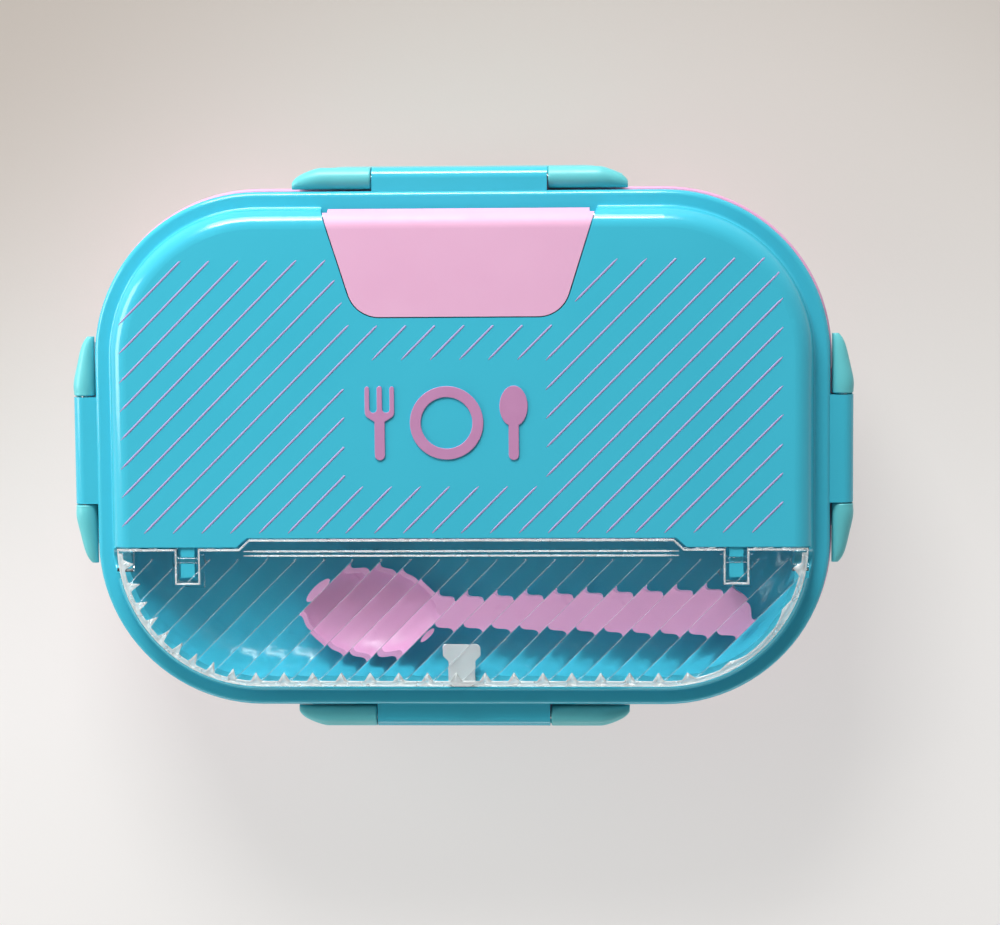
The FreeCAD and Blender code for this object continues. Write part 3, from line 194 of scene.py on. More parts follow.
traySteel = brushedSteel("stainless_sheet_brushed", {
    "deep": "B4B6B8", "pale": "D2D3D4", "line": 0.4, "stretch": (0.04, 1.0, 1.0), "rough": 0.3})
pinSteel = brushedSteel("stainless_wire_drawn", {
    "deep": "A8AAAC", "pale": "C8C9CA", "line": 0.25, "stretch": (1.0, 1.0, 1.0), "rough": 0.28})


# Clear plastic with the faint waviness of a moulded face
def clearPlastic(name, look):
    material, tree = newMaterial(name)
    spot = addNode(tree, "ShaderNodeTexCoord").outputs["Object"]
    wave = addNode(tree, "ShaderNodeTexNoise", inputs={
        "Vector": spot, "Scale": 1 / (look["wave"] * mm), "Detail": 2.0})
    haze = addNode(tree, "ShaderNodeMapRange", inputs={
        "Value": wave.outputs["Fac"], "To Min": look["rough"] * 0.5, "To Max": look["rough"] * 1.5})
    skin = addNode(tree, "ShaderNodeBump", inputs={
        "Height": wave.outputs["Fac"], "Strength": 0.06, "Distance": 0.0002})
    shader = addNode(tree, "ShaderNodeBsdfPrincipled", inputs={
        "Base Color": linearColour(look["tint"]), "Roughness": haze.outputs["Result"],
        "IOR": look["ior"], "Transmission Weight": look["clear"], "Normal": skin.outputs["Normal"]})
    addNode(tree, "ShaderNodeOutputMaterial", {"target": "ALL"}, {"Surface": shader.outputs["BSDF"]})
    # Lamp light goes through, less what the flutes turn aside
    ray = addNode(tree, "ShaderNodeLightPath")
    through = addNode(tree, "ShaderNodeBsdfTransparent", inputs={"Color": linearColour(look["pass"])})
    lit = addNode(tree, "ShaderNodeMixShader", inputs={
        "Fac": ray.outputs["Is Shadow Ray"], 1: shader.outputs["BSDF"], 2: through.outputs["BSDF"]})
    addNode(tree, "ShaderNodeOutputMaterial", {"target": "CYCLES"}, {"Surface": lit.outputs["Shader"]})
    return material


# Clear SAN from a polished mould: glass-clear, with hardly any haze
coverSan = clearPlastic("SAN_clear_polished_mould", {
    "tint": "F6FAFB", "pass": "D4D8DA", "rough": 0.05, "wave": 14, "ior": 1.57, "clear": 1.0})
# Clear SAN where the mould is vapour blasted, drawn partly white: a frosted edge, and a painted
# highlight for the bright lines of light along the cover's edges
edgeFrostAndHighlightSan = clearPlastic("SAN_clear_blasted_edge_and_painted_highlight", {
    "tint": "F7FAFA", "pass": "E4E8E8", "rough": 0.26, "wave": 6.0, "ior": 1.57, "clear": 0.68})
# Clear SAN in the sharp valleys, drawn partly white: a painted highlight, the thin grey-white thread
# of light that each valley catches
valleyHighlightSan = clearPlastic("SAN_clear_valley_painted_highlight", {
    "tint": "F3F8FA", "pass": "E4E8E8", "rough": 0.2, "wave": 3.0, "ior": 1.57, "clear": 0.88})

finishes = {
    "outer_tub": tubPp, "steel_tray": traySteel, "lid_shell": lidAbs, "lid_gasket": siliconeRubber,
    "spoon_cover": coverSan, "cover_catch": catchPp, "spoon": spoonPp, "vent_flap": flapPp,
    "vent_plug": siliconeRubber, "vent_flap_pin": pinSteel,
    "latch_front": latchPp, "latch_rear": latchPp, "latch_left": latchPp, "latch_right": latchPp,
    "latch_pin_front": pinSteel, "latch_pin_rear": pinSteel,
    "latch_pin_left": pinSteel, "latch_pin_right": pinSteel,
}
for nodeName, finish in finishes.items():
    for slot in nodes[nodeName].material_slots:
        slot.material = finish
print("finishes on", len(finishes), "nodes")


# Height of the crowned panel over a point of the plan
def panelHeight(x, y):
    f = lidForm
    past = max(abs(y) - (f["halfDepth"] - f["corner"]), 0.0)
    if abs(x) > f["cornerX"] and past > 0:
        inside = f["corner"] - math.hypot(abs(x) - f["cornerX"], past)
    else:
        inside = min(f["halfLength"] - abs(x), f["halfDepth"] - abs(y))
    if inside >= f["crown"]:
        return f["top"]
    lean = min(f["crown"] - inside, f["crown"])
    return f["top"] - f["crown"] + math.sqrt(f["crown"] ** 2 - lean ** 2)


# Raised diagonal ribs on the panel
ribSizes = {
    "pitch": 9.1, "width": 0.7, "height": 0.2, "sink": 0.05, "phase": 2.0,
    "left": -107.0, "right": 101.0, "front": -25.6, "rear": 60.5,
    "crownDrop": 1.4,     # ribs stop this far down the crown
    "flapMargin": 2.6,
    "window": (-36.0, 27.0, -10.5, 29.0),  # bare middle: left, right, front, rear
    "walk": 0.25, "every": 6, "shortest": 16,
}
flapPlan = {"rear": 76.1, "front": 42.6, "rearHalf": 42.8, "frontHalf": 32.2}


def ribAllowed(x, y):
    s = ribSizes
    if not (s["left"] < x < s["right"] and s["front"] < y < s["rear"]):
        return False
    left, right, low, high = s["window"]
    if left < x < right and low < y < high:
        return False
    span = (y - flapPlan["front"]) / (flapPlan["rear"] - flapPlan["front"])
    half = flapPlan["frontHalf"] + (flapPlan["rearHalf"] - flapPlan["frontHalf"]) * span
    half += s["flapMargin"]
    if y > flapPlan["front"] - s["flapMargin"] and abs(x) < half:
        return False
    return panelHeight(x, y) > lidForm["top"] - s["crownDrop"]


def ribRuns():
    runs = []
    s = ribSizes
    first = s["left"] - s["rear"]
    last = s["right"] - s["front"]
    count = int((last - first) / s["pitch"])
    for k in range(count + 1):
        offset = first + s["phase"] + k * s["pitch"]
        run = []
        y = s["front"]
        while y <= s["rear"]:
            x = y + offset
            if ribAllowed(x, y):
                run.append((x, y))
            elif run:
                runs.append(run)
                run = []
            y += s["walk"]
        if run:
            runs.append(run)
    return [r for r in runs if len(r) > s["shortest"]]


# Adds a half-round ridge along a line of points: pinched ends, mitred bends;
# closed lines join end to end
ridgeShape = {"sides": 7, "pinch": 0.45, "flattest": 0.1, "longest": 1.5}


def addRidge(points, faces, line, look, closed=False):
    start, count, side = len(points), len(line), ridgeShape["sides"]
    for i, spot in enumerate(line):
        here = Vector(spot)
        before = here - Vector(line[i - 1]) if i or closed else Vector(line[1]) - here
        after = Vector(line[(i + 1) % count]) - here if i < count - 1 or closed else before
        ahead = (before.xy.normalized() + after.xy.normalized()).normalized()
        bend = max(ahead.dot(after.xy.normalized()), ridgeShape["flattest"])
        mitre = min(1 / bend, ridgeShape["longest"])
        size = ridgeShape["pinch"] if not closed and i in (0, count - 1) else 1.0
        for j in range(side):
            turn = math.pi * j / (side - 1)
            across = math.cos(turn) * look["width"] / 2 * size * mitre
            rise = math.sin(turn) * look["height"] * size - look["sink"]
            points.append((here.x + ahead.y * across, here.y - ahead.x * across, here.z + rise))
    for i in range(count if closed else count - 1):
        a, b = start + i * side, start + (i + 1) % count * side
        for j in range(side):
            k = (j + 1) % side
            faces.append((a + j, b + j, b + k, a + k))
    if not closed:
        faces.append(tuple(start + j for j in range(side)))
        faces.append(tuple(start + (count - 1) * side + j for j in reversed(range(side))))


def buildRibs():
    points, faces = [], []
    every = ribSizes["every"]
    for run in ribRuns():
        keep = run[::every] + ([run[-1]] if (len(run) - 1) % every else [])
        addRidge(points, faces, [(x, y, panelHeight(x, y)) for x, y in keep], ribSizes)
    return addPiece("lid_ribs", points, faces, ribInk, "lid")


lidRibs = buildRibs()
print("ribs:", len(lidRibs.data.vertices), "points")

# A generic meal sign in the bare middle: a plate ring between a fork and a spoon
signSizes = {
    "x": -4.0, "y": 9.4, "rise": 0.35, "sink": 0.1, "round": 0.12,
    "plate": 11.5, "ring": 3.4,
    "forkX": -21.0, "spoonX": 21.0, "stem": 1.6, "foot": -10.1,
    "tineTop": 10.8, "tineOut": 3.9, "tineHalf": 0.7, "middleHalf": 0.8, "forkNeck": 0.4,
    "gapOut": 2.0, "gapRound": 1.2, "gapLow": 4.4,
    "heelOut": 2.6, "heelRound": 2.0, "heelUp": 3.4,
    "bowlUp": 5.2, "bowlHalf": 4.4, "bowlLong": 6.4, "bowlOpen": 66, "spoonNeck": -0.6,
}


def addSign(name, outline, holes=()):
    s = signSizes
    shape = bpy.data.curves.new(name, "CURVE")
    shape.dimensions = "2D"
    shape.fill_mode = "BOTH"
    for line in [outline, *holes]:
        spline = shape.splines.new("POLY")
        spline.points.add(len(line) - 1)
        spline.use_cyclic_u = True
        for point, (x, y) in zip(spline.points, line):
            point.co = ((x + s["x"]) * mm, (y + s["y"]) * mm, 0.0, 1.0)
    shape.extrude = (s["rise"] + s["sink"]) / 2 * mm
    shape.bevel_depth = s["round"] * mm
    shape.bevel_resolution = 2
    shape.offset = -s["round"] * mm
    carrier = bpy.data.objects.new(name, shape)
    bpy.context.scene.collection.objects.link(carrier)
    mesh = evaluatedMesh(carrier)
    bpy.data.objects.remove(carrier)
    lift = (lidForm["top"] + (s["rise"] - s["sink"]) / 2) * mm
    for vertex in mesh.vertices:
        vertex.co.z += lift
    mesh.materials.clear()
    mesh.materials.append(signInk)
    piece = bpy.data.objects.new(name, mesh)
    bpy.context.scene.collection.objects.link(piece)
    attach(piece, "lid")


def arcPoints(cx, cy, r, start, end, count=10):
    angles = [math.radians(start + (end - start) * k / count) for k in range(count + 1)]
    return [(cx + r * math.cos(a), cy + r * math.sin(a)) for a in angles]


def roundRing(r, count=72):
    return arcPoints(0, 0, r, 0, 360, count)[:-1]


def forkOutline():
    s = signSizes
    x, stem = s["forkX"], s["stem"]
    tine = (s["tineTop"], s["tineHalf"], 0, 180, 6)
    gap = (s["gapLow"], s["gapRound"], 0, -180, 6)
    line = arcPoints(x, s["foot"], stem, 180, 360) + [(x + stem, s["forkNeck"])]
    line += arcPoints(x + s["heelOut"], s["heelUp"], s["heelRound"], 300, 360)
    line += arcPoints(x + s["tineOut"], *tine) + arcPoints(x + s["gapOut"], *gap)
    line += arcPoints(x, s["tineTop"], s["middleHalf"], 0, 180, 6)
    line += arcPoints(x - s["gapOut"], *gap) + arcPoints(x - s["tineOut"], *tine)
    line += arcPoints(x - s["heelOut"], s["heelUp"], s["heelRound"], 180, 240)
    return line + [(x - stem, s["forkNeck"])]


def spoonOutline():
    s = signSizes
    x, stem, opening = s["spoonX"], s["stem"], s["bowlOpen"]
    bowl = arcPoints(0, 0, 1, -opening, 180 + opening, 40)
    line = arcPoints(x, s["foot"], stem, 180, 360) + [(x + stem, s["spoonNeck"])]
    line += [(x + s["bowlHalf"] * a, s["bowlUp"] + s["bowlLong"] * b) for a, b in bowl]
    return line + [(x - stem, s["spoonNeck"])]


plateOuter, plateInner = signSizes["plate"], signSizes["plate"] - signSizes["ring"]
addSign("sign_plate", roundRing(plateOuter), [roundRing(plateInner)])
addSign("sign_fork", forkOutline())
addSign("sign_spoon", spoonOutline())
print("meal sign placed")

# Clear fluted cover over the spoon bay
coverSizes = {
    "edge": 1.6,          # the cover's edge inside the panel's outline
    "rear": -30.3, "base": 55.8,
    "arcStart": 1.2, "arcSteps": 60,
    "pitch": 9.1, "flute": 0.52, "sharp": 4, "steps": 20, "rows": 100,
    "spare": 0.5,         # fluted block beyond the outline it is cut to
    "past": 1.0,          # cutting shapes run past the cover by this
    "rim": 0.9,           # plain rim along the edge, then the flutes' ends
    "fade": 0.9, "rearFade": 0.7,
    "plain": 3.0,         # plain strip along the rear edge
    "leastInside": 0.6, "leastThick": 0.25,
    "ledgeHalf": 70.0, "ledgeReach": 3.0, "ledgeSlant": 3.2, "ledgeRoot": 3.0, "ledgeRound": 0.5,
    "hingeX": 86.4, "hingeY": -34.0, "hingeZ": 56.7, "bar": 1.15, "barSides": 24,
    "notchHalf": 3.3, "notchFront": -41.0, "notchPast": 4.0, "notchOver": 2.0,
    "cheek": 1.7, "cheekDrop": 2.2, "cheekRear": 0.4, "cheekBite": 1.0,
    "catchFront": -74.35, "catchRear": -60.75, "catchHalf": 4.25, "catchWide": 5.95,
    "catchNeck": 5.4, "catchShoulder": 3.7, "catchSunk": 1.2,
    "barrelIn": 103.8, "barrelOut": 109.0, "barrelHalf": 3.7, "barrelTrim": 0.02,
    "barrelLow": 53.0, "barrelTop": 56.3, "barrelRound": 2.96,
    "crease": 14,         # sharpest bend that shades smooth, in degrees
}


def smoothStep(low, high, value):
    t = min(max((value - low) / (high - low), 0.0), 1.0)
    return t * t * (3 - 2 * t)


def coverInside(x, y):
    f = lidForm
    if abs(x) > f["cornerX"] and y < f["cornerY"]:
        return f["corner"] - math.hypot(abs(x) - f["cornerX"], y - f["cornerY"])
    return min(f["halfLength"] - abs(x), y + f["halfDepth"])


def coverHeight(x, y):
    s = coverSizes
    inside = max(coverInside(x, y), s["leastInside"])
    lean = max(lidForm["crown"] - inside, 0.0)
    z = lidForm["top"] - lidForm["crown"] + math.sqrt(lidForm["crown"] ** 2 - lean ** 2)
    turn = ((x - y) / s["pitch"]) % 1.0 - 0.5
    fade = smoothStep(s["edge"] + s["rim"], s["edge"] + s["rim"] + s["fade"], inside)
    fade *= smoothStep(0.0, s["rearFade"], s["rear"] - s["plain"] - y)
    return max(z - s["flute"] * abs(2 * turn) ** s["sharp"] * fade, s["base"] + s["leastThick"])


# Right front corner of the cover's edge, from its side to its front
def coverArc(inset, start, count):
    f = lidForm
    reach = f["corner"] - coverSizes["edge"] - inset
    return arcPoints(f["cornerX"], f["cornerY"], reach, -start, -90, count)


def loft(name, start, end):
    count = len(start)
    faces = [tuple(reversed(range(count))), tuple(range(count, 2 * count))]
    faces += [(i, (i + 1) % count, count + (i + 1) % count, count + i) for i in range(count)]
    return meshObject(name, start + end, faces)


def prism(name, outline, low, high):
    return loft(name, [(x, y, low) for x, y in outline], [(x, y, high) for x, y in outline])


def rod(name, profile, left, right):
    return loft(name, [(left, y, z) for y, z in profile], [(right, y, z) for y, z in profile])


def rectangle(left, right, front, rear):
    return [(left, front), (right, front), (right, rear), (left, rear)]


def combine(target, tool, operation):
    step = target.modifiers.new(operation, "BOOLEAN")
    step.operation = operation
    step.solver = "EXACT"
    step.object = tool
    result = evaluatedMesh(target)
    target.modifiers.clear()
    old = target.data
    target.data = result
    bpy.data.meshes.remove(old)
    bpy.data.objects.remove(tool)


def roundLevelEdges(item, width):
    work = bmesh.new()
    work.from_mesh(item.data)
    edges = [e for e in work.edges if abs(e.verts[0].co.z - e.verts[1].co.z) < tiny]
    bmesh.ops.bevel(work, geom=edges, offset=width * mm, segments=3, profile=0.5, affect="EDGES")
    work.to_mesh(item.data)
    work.free()


# Block with the flutes on top; its columns run along the flutes
def coverBlock():
    s, f = coverSizes, lidForm
    step = s["pitch"] / s["steps"]
    lowY, highY = -f["halfDepth"] - s["spare"], s["rear"] + s["spare"]
    first = math.floor((-f["halfLength"] - highY) / s["pitch"]) * s["steps"]
    last = math.ceil((f["halfLength"] - lowY) / s["pitch"]) * s["steps"]
    points, faces = [], []
    rows, columns = s["rows"], last - first + 1
    for r in range(rows + 1):
        y = lowY + (highY - lowY) * r / rows
        for c in range(columns):
            x = (first + c) * step + y
            points.append((x, y, coverHeight(x, y)))
    for r in range(rows):
        for c in range(columns - 1):
            a = r * columns + c
            faces.append((a, a + 1, a + columns + 1, a + columns))
    border = list(range(columns)) + [r * columns + columns - 1 for r in range(1, rows + 1)]
    border += [rows * columns + c for c in reversed(range(columns - 1))]
    border += [r * columns for r in reversed(range(1, rows))]
    base = len(points)
    points += [(points[i][0], points[i][1], s["base"]) for i in border]
    count = len(border)
    for i in range(count):
        j = (i + 1) % count
        faces.append((border[j], border[i], base + i, base + j))
    faces.append(tuple(base + i for i in reversed(range(count))))
    return meshObject("spoon_cover_fluted", points, faces)


def cutToOutline(cover):
    s, f = coverSizes, lidForm
    arc = [p for p in coverArc(0.0, s["arcStart"], s["arcSteps"]) if p[1] < s["rear"]]
    right = [(f["halfLength"] - s["edge"], s["rear"])] + arc
    outline = [(-x, y) for x, y in right] + right[::-1]
    outer = prism("cover_outline", outline, s["base"] - s["past"], f["top"] + s["past"])
    combine(cover, outer, "INTERSECT")


def addLedge(cover):
    s = coverSizes
    wide, narrow = s["ledgeHalf"], s["ledgeHalf"] - s["ledgeSlant"]
    root, lip = s["rear"] - s["ledgeRoot"], s["rear"] + s["ledgeReach"]
    outline = [(-wide, root), (wide, root), (wide, s["rear"]),
               (narrow, lip), (-narrow, lip), (-wide, s["rear"])]
    ledge = prism("ledge", outline, s["base"], lidForm["top"])
    roundLevelEdges(ledge, s["ledgeRound"])
    combine(cover, ledge, "UNION")


# Loop that a finger of the lid hooks through: cheeks, a notch and a bar across it
def addHingeLoop(cover, x):
    s = coverSizes
    half, wide = s["notchHalf"], s["notchHalf"] + s["cheek"]
    front, rear = s["notchFront"] - s["cheek"], s["hingeY"] + s["bar"] + s["cheekRear"]
    cheeks = prism("cheeks", rectangle(x - wide, x + wide, front, rear),
                   s["base"] - s["cheekDrop"], s["base"] + s["cheekBite"])
    combine(cover, cheeks, "UNION")
    gap = rectangle(x - half, x + half, s["notchFront"], s["rear"] + s["notchPast"])
    notch = prism("notch", gap, s["base"] - s["notchPast"], lidForm["top"] + s["notchOver"])
    combine(cover, notch, "DIFFERENCE")
    ring = [(s["hingeY"] + y, s["hingeZ"] + z) for y, z in roundRing(s["bar"], s["barSides"])]
    reach = half + s["cheek"] / 2
    combine(cover, rod("bar", ring, x - reach, x + reach), "UNION")


def addBarrel(cover, side):
    s = coverSizes
    low, bend = s["barrelLow"] + s["barrelRound"], s["barrelHalf"] - s["barrelRound"]
    profile = [(s["hingeY"] - s["barrelHalf"], s["barrelTop"])]
    profile += arcPoints(s["hingeY"] - bend, low, s["barrelRound"], 180, 270, 8)
    profile += arcPoints(s["hingeY"] + bend, low, s["barrelRound"], 270, 360, 8)
    profile.append((s["hingeY"] + s["barrelHalf"] - s["barrelTrim"], s["barrelTop"]))
    ends = sorted((side * s["barrelIn"], side * s["barrelOut"]))
    combine(cover, rod("barrel", profile, *ends), "UNION")


def cutCatchSeat(cover):
    s = coverSizes
    half, wide = s["catchHalf"], s["catchWide"]
    right = [(half, s["catchFront"]), (half, s["catchRear"] - s["catchNeck"]),
             (wide, s["catchRear"] - s["catchShoulder"]), (wide, s["catchRear"])]
    outline = [(-half, s["catchFront"])] + right + [(-x, y) for x, y in reversed(right[1:])]
    seat = prism("seat", outline, s["base"] - s["past"], s["base"] + s["catchSunk"])
    combine(cover, seat, "DIFFERENCE")


def shadeCover(cover):
    work = bmesh.new()
    work.from_mesh(cover.data)
    bmesh.ops.remove_doubles(work, verts=work.verts, dist=tiny)
    bmesh.ops.recalc_face_normals(work, faces=work.faces)
    for face in work.faces:
        face.smooth = True
    for edge in work.edges:
        edge.smooth = edge.calc_face_angle(0.0) < math.radians(coverSizes["crease"])
    work.to_mesh(cover.data)
    work.free()


def buildCover():
    cover = coverBlock()
    cutToOutline(cover)
    addLedge(cover)
    for side in (-1, 1):
        addHingeLoop(cover, side * coverSizes["hingeX"])
    for side in (-1, 1):
        addBarrel(cover, side)
    cutCatchSeat(cover)
    shadeCover(cover)
    cover.data.materials.clear()
    cover.data.materials.append(coverSan)
    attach(cover, "cover")
    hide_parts("spoon_cover")
    return cover


fluted = buildCover()
print("fluted cover:", len(fluted.data.polygons), "faces")

# Blasted bead round the cover's edge, its hinge loops and its finger ledge; its white is partly a
# painted highlight along these edges
beadSizes = {
    "width": 0.6, "height": 0.24, "sink": 0.1, "inset": 0.4, "step": 1.2,
    "flat": 0.2,          # the ledge's level top starts this far before the rear edge
    "arcStart": 3, "arcSteps": 40,
}
# Two raised lines along the cover's plain strip, in the same finish: partly white as a painted
# highlight
barSizes = {
    "width": 0.55, "height": 0.3, "sink": 0.1,
    "places": (-31.1, -32.5), "half": 68.5, "step": 4.0,
}


def dividedLine(corners, step):
    line = []
    for start, end in zip(corners, corners[1:]):
        count = max(int(math.dist(start, end) / step), 1)
        line += [(start[0] + (end[0] - start[0]) * k / count,
                  start[1] + (end[1] - start[1]) * k / count) for k in range(count)]
    return line + [corners[-1]]


def beadHeight(x, y):
    if y > coverSizes["rear"] - beadSizes["flat"]:
        return lidForm["top"]
    return coverHeight(x, y)


def buildBeads():
    s, f, b = coverSizes, lidForm, beadSizes
    rear, lip = s["rear"] - b["inset"], s["rear"] + s["ledgeReach"] - b["inset"]
    gap = s["notchHalf"] + b["inset"]
    low = s["notchFront"] - b["inset"]
    inner, outer = s["hingeX"] - gap, s["hingeX"] + gap
    right = [(0.0, lip), (s["ledgeHalf"] - s["ledgeSlant"], lip), (s["ledgeHalf"], rear),
             (inner, rear), (inner, low), (outer, low), (outer, rear),
             (f["halfLength"] - s["edge"] - b["inset"], rear)]
    arc = coverArc(b["inset"], b["arcStart"], b["arcSteps"])
    half = dividedLine(right + arc + [(0.0, arc[-1][1])], b["step"])
    ring = half + [(-x, y) for x, y in reversed(half[1:-1])]
    points, faces = [], []
    addRidge(points, faces, [(x, y, beadHeight(x, y)) for x, y in ring], b, closed=True)
    for y in barSizes["places"]:
        line = dividedLine([(-barSizes["half"], y), (barSizes["half"], y)], barSizes["step"])
        addRidge(points, faces, [(x, y, f["top"]) for x, y in line], barSizes)
    return addPiece("cover_edge_bead", points, faces, edgeFrostAndHighlightSan, "cover")


# Blasted band inside the curved edge, with a small tooth where every flute runs out; its white is
# partly a painted highlight along the edge
bandSizes = {
    "wide": 2.0, "tooth": 4.2, "toothShare": 0.2, "rise": 0.1, "sink": 0.12, "step": 0.35,
    "start": 0.05, "crest": 0.6, "crestRise": 1.4, "feather": 0.02,
    "arcStart": 3, "arcSteps": 160,
}


def buildBand():
    s, f, b = coverSizes, lidForm, bandSizes
    arc = coverArc(0.0, b["arcStart"], b["arcSteps"])
    half = dividedLine([(0.0, arc[-1][1])] + arc[::-1], b["step"])
    line = [(-x, y) for x, y in reversed(half[1:])] + half
    points, faces = [], []
    for x, y in line:
        outX = x - math.copysign(f["cornerX"], x) if abs(x) > f["cornerX"] else 0.0
        side = Vector((outX, y - f["cornerY"])).normalized()
        valley = 0.5 - abs(((x - y) / s["pitch"]) % 1.0 - 0.5)
        across = abs(side.x + side.y) / math.sqrt(2)  # no teeth where flutes run along the edge
        tooth = b["tooth"] * across * max(1 - valley / b["toothShare"], 0.0)
        inner = b["wide"] + tooth
        section = ((b["start"], -b["sink"]), (b["start"], b["rise"]),
                   (b["wide"] * b["crest"], b["rise"] * b["crestRise"]),
                   (inner, b["feather"]), (inner, -b["sink"]))
        for inwards, rise in section:
            px, py = x - side.x * inwards, y - side.y * inwards
            points.append((px, py, coverHeight(px, py) + rise))
    size = len(points) // len(line)
    for i in range(len(line) - 1):
        a, c = i * size, (i + 1) * size
        faces += [(a + j, c + j, c + (j + 1) % size, a + (j + 1) % size) for j in range(size)]
    faces += [tuple(reversed(range(size))), tuple(range(len(points) - size, len(points)))]
    return addPiece("cover_edge_band", points, faces, edgeFrostAndHighlightSan, "cover")


# Thin crest in the bottom of every flute's valley, carrying a painted highlight: the bright thread of
# light along each valley
lineSizes = {
    "width": 0.22, "height": 0.1, "sink": 0.05,
    "rear": 0.4, "edge": 0.7, "hinge": 1.4,  # kept from the plain strip, the rim and the loops
    "samples": 240, "every": 6, "shortest": 16,
}


def buildFluteLines():
    s, f, n = coverSizes, lidForm, lineSizes
    points, faces = [], []
    rear = s["rear"] - s["plain"] - n["rear"]
    loopHalf, loopFront = s["notchHalf"] + n["hinge"], s["notchFront"] - n["hinge"]
    first = math.ceil((-f["halfLength"] - rear) / s["pitch"])
    last = math.floor((f["halfLength"] + f["halfDepth"]) / s["pitch"])
    for k in range(first, last + 1):
        run = []
        for i in range(n["samples"] + 1):
            y = -f["halfDepth"] + (rear + f["halfDepth"]) * i / n["samples"]
            x = y + k * s["pitch"]
            loop = abs(abs(x) - s["hingeX"]) < loopHalf and y > loopFront
            if coverInside(x, y) > s["edge"] + n["edge"] and not loop:
                run.append((x, y, coverHeight(x, y)))
        if len(run) > n["shortest"]:
            addRidge(points, faces, run[::n["every"]] + [run[-1]], n)
    return addPiece("cover_flute_lines", points, faces, valleyHighlightSan, "cover")


beads = buildBeads()
band = buildBand()
fluteLines = buildFluteLines()
edgeFaces = sum(len(item.data.polygons) for item in (beads, band, fluteLines))
print("edge bead, band and flute lines:", edgeFaces, "faces")

# Pale cloth sweep with painted shade: lighter at the picture's bottom, greyer towards its top, at its
# top corners and away from the middle, where the light falls off; seen, mirrored or through the cover
# it keeps most of its own tone, so the shadow stays light
floorLook = {
    "near": "F1EFED", "far": "D3CDC7", "corner": "BAB2AA", "sweep": "DDD8D3",
    "size": 6.0, "from": -0.10, "to": 0.17, "middle": (0.06, -0.02, 0.0),
    "dimFrom": 0.13, "dimTo": 0.29, "awayFrom": 0.32, "awayTo": 0.9,
    "weave": 1.1, "own": 0.62,
}
floorMaterial, floorTree = newMaterial("cloth_sweep_matt_painted_shade")
place = addNode(floorTree, "ShaderNodeTexCoord").outputs["Object"]
split = addNode(floorTree, "ShaderNodeSeparateXYZ", inputs={"Vector": place})
# Painted shade: the cloth darkens from near to far, at the top corners and away from the middle
fall = addNode(floorTree, "ShaderNodeMapRange", {"interpolation_type": "SMOOTHSTEP"}, {
    "Value": split.outputs["Y"], "From Min": floorLook["from"], "From Max": floorLook["to"]})
tint = addNode(floorTree, "ShaderNodeMix", {"data_type": "RGBA"}, {
    "Factor": fall.outputs["Result"],
    "A": linearColour(floorLook["near"]), "B": linearColour(floorLook["far"])})
spread = addNode(floorTree, "ShaderNodeVectorMath", {"operation": "DISTANCE"}, {
    0: place, 1: floorLook["middle"]})
dim = addNode(floorTree, "ShaderNodeMapRange", {"interpolation_type": "SMOOTHSTEP"}, {
    "Value": spread.outputs["Value"],
    "From Min": floorLook["dimFrom"], "From Max": floorLook["dimTo"]})
corner = addNode(floorTree, "ShaderNodeMath", {"operation": "MULTIPLY"}, {
    0: dim.outputs["Result"], 1: fall.outputs["Result"]})
near = addNode(floorTree, "ShaderNodeMix", {"data_type": "RGBA"}, {
    "Factor": corner.outputs["Value"],
    "A": tint.outputs["Result"], "B": linearColour(floorLook["corner"])})
away = addNode(floorTree, "ShaderNodeMapRange", {"interpolation_type": "SMOOTHSTEP"}, {
    "Value": spread.outputs["Value"],
    "From Min": floorLook["awayFrom"], "From Max": floorLook["awayTo"]})
shade = addNode(floorTree, "ShaderNodeMix", {"data_type": "RGBA"}, {
    "Factor": away.outputs["Result"],
    "A": near.outputs["Result"], "B": linearColour(floorLook["sweep"])})
weave = addNode(floorTree, "ShaderNodeTexNoise", inputs={
    "Vector": place, "Scale": 1 / (floorLook["weave"] * mm), "Detail": 4.0})
tooth = addNode(floorTree, "ShaderNodeBump", inputs={
    "Height": weave.outputs["Fac"], "Strength": 0.12, "Distance": 0.0002})
cloth = addNode(floorTree, "ShaderNodeBsdfPrincipled", inputs={
    "Base Color": shade.outputs["Result"], "Roughness": 0.9, "Specular IOR Level": 0.2,
    "Normal": tooth.outputs["Normal"]})
glow = addNode(floorTree, "ShaderNodeEmission", inputs={
    "Color": shade.outputs["Result"], "Strength": 1.0})
ray = addNode(floorTree, "ShaderNodeLightPath")
seen = addNode(floorTree, "ShaderNodeMath", {"operation": "MAXIMUM"}, {
    0: ray.outputs["Is Camera Ray"], 1: ray.outputs["Is Glossy Ray"]})
seen = addNode(floorTree, "ShaderNodeMath", {"operation": "MAXIMUM"}, {
    0: seen.outputs["Value"], 1: ray.outputs["Is Transmission Ray"]})
share = addNode(floorTree, "ShaderNodeMath", {"operation": "MULTIPLY"}, {
    0: seen.outputs["Value"], 1: floorLook["own"]})
blendTone = addNode(floorTree, "ShaderNodeMixShader", inputs={
    "Fac": share.outputs["Value"], 1: cloth.outputs["BSDF"], 2: glow.outputs["Emission"]})
addNode(floorTree, "ShaderNodeOutputMaterial", inputs={"Surface": blendTone.outputs["Shader"]})
half = floorLook["size"] / 2
floorMesh = bpy.data.meshes.new("floor")
floorCorners = [(x, y, 0.0) for x, y in rectangle(-half, half, -half, half)]
floorMesh.from_pydata(floorCorners, [], [(0, 1, 2, 3)])
floorMesh.materials.append(floorMaterial)
floor = bpy.data.objects.new("floor", floorMesh)
bpy.context.scene.collection.objects.link(floor)

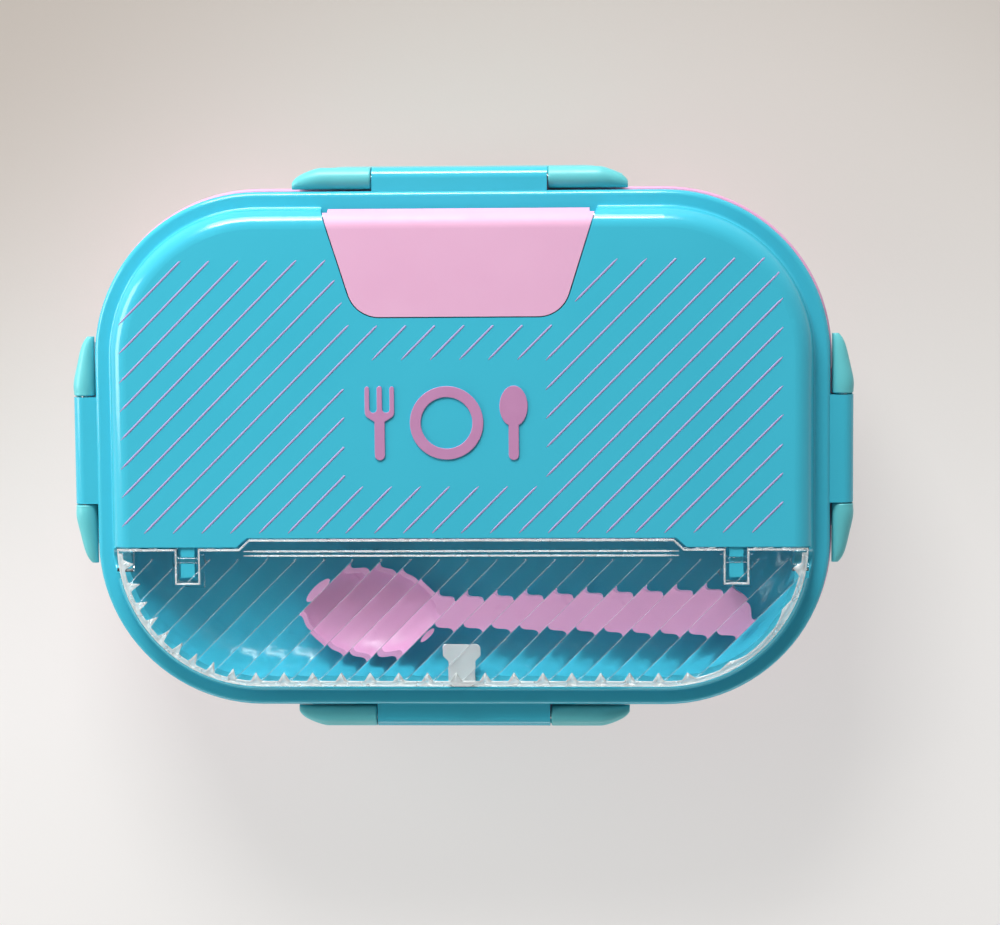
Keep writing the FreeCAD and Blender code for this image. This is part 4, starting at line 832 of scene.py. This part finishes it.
# Soft studio light: a broad low key from the picture's top, a narrow strip over it that draws the
# bright lines on rounded edges, a weaker fill from the left and a faint bounce from the near side
lights = {
    "key": {"spot": (-0.34, 1.50, 0.78), "size": (0.95, 0.8), "power": 27.0, "colour": "FFFDFA"},
    "strip": {"spot": (-0.30, 1.35, 0.90), "size": (0.8, 0.13), "power": 11.0, "colour": "FFFFFF"},
    "fill": {"spot": (-0.62, 0.12, 0.26), "size": (0.34, 0.26), "power": 1.9, "colour": "FFFEFC"},
    "bounce": {"spot": (0.0, -1.4, 0.3), "size": (1.6, 0.5), "power": 7.0, "colour": "FFFAF4"},
}
lightAim = Vector((0.0, 0.0, 0.03))
world = {"horizon": 0.5, "zenith": 0.1, "colour": "FAFBFF", "seen": "D6D1CC"}
for name, light in lights.items():
    lamp = bpy.data.lights.new(name, "AREA")
    lamp.shape = "RECTANGLE"
    lamp.size, lamp.size_y = light["size"]
    lamp.energy = light["power"]
    lamp.color = linearColour(light["colour"])[:3]
    holder = bpy.data.objects.new(name, lamp)
    holder.location = light["spot"]
    holder.rotation_euler = (lightAim - Vector(light["spot"])).to_track_quat("-Z", "Y").to_euler()
    holder.visible_camera = False
    bpy.context.scene.collection.objects.link(holder)
sky = bpy.data.worlds.new("studio")
sky.use_nodes = True
sky.node_tree.nodes.clear()
aim = addNode(sky.node_tree, "ShaderNodeTexCoord").outputs["Generated"]
height = addNode(sky.node_tree, "ShaderNodeSeparateXYZ", inputs={"Vector": aim})
level = addNode(sky.node_tree, "ShaderNodeMapRange", inputs={
    "Value": height.outputs["Z"], "To Min": world["horizon"], "To Max": world["zenith"]})
air = addNode(sky.node_tree, "ShaderNodeBackground", inputs={
    "Color": linearColour(world["colour"]), "Strength": level.outputs["Result"]})
paper = addNode(sky.node_tree, "ShaderNodeBackground", inputs={
    "Color": linearColour(world["seen"])})
look = addNode(sky.node_tree, "ShaderNodeLightPath")
backdrop = addNode(sky.node_tree, "ShaderNodeMixShader", inputs={
    "Fac": look.outputs["Is Camera Ray"],
    1: air.outputs["Background"], 2: paper.outputs["Background"]})
addNode(sky.node_tree, "ShaderNodeOutputWorld", inputs={"Surface": backdrop.outputs["Shader"]})
bpy.context.scene.world = sky
print("floor and lights placed")

# Camera fitted to the photograph: over the lid, a little to its rear and right
cameraFit = {
    "spot": (0.061591, 0.102057, 1.039592), "turn": (-0.107, 0.049, -0.008),
    "focal": 3160.0, "wide": 1000, "sensor": 36.0, "clip": 0.01,
}
lens = bpy.data.cameras.new("camera")
lens.sensor_fit = "HORIZONTAL"
lens.sensor_width = cameraFit["sensor"]
lens.lens = cameraFit["focal"] / cameraFit["wide"] * lens.sensor_width
lens.dof.use_dof = False
lens.clip_start = cameraFit["clip"]
view = bpy.data.objects.new("camera", lens)
view.location = cameraFit["spot"]
view.rotation_euler = cameraFit["turn"]
bpy.context.scene.collection.objects.link(view)
bpy.context.scene.camera = view
bpy.context.scene.view_settings.view_transform = "Standard"

bpy.context.view_layer.update()
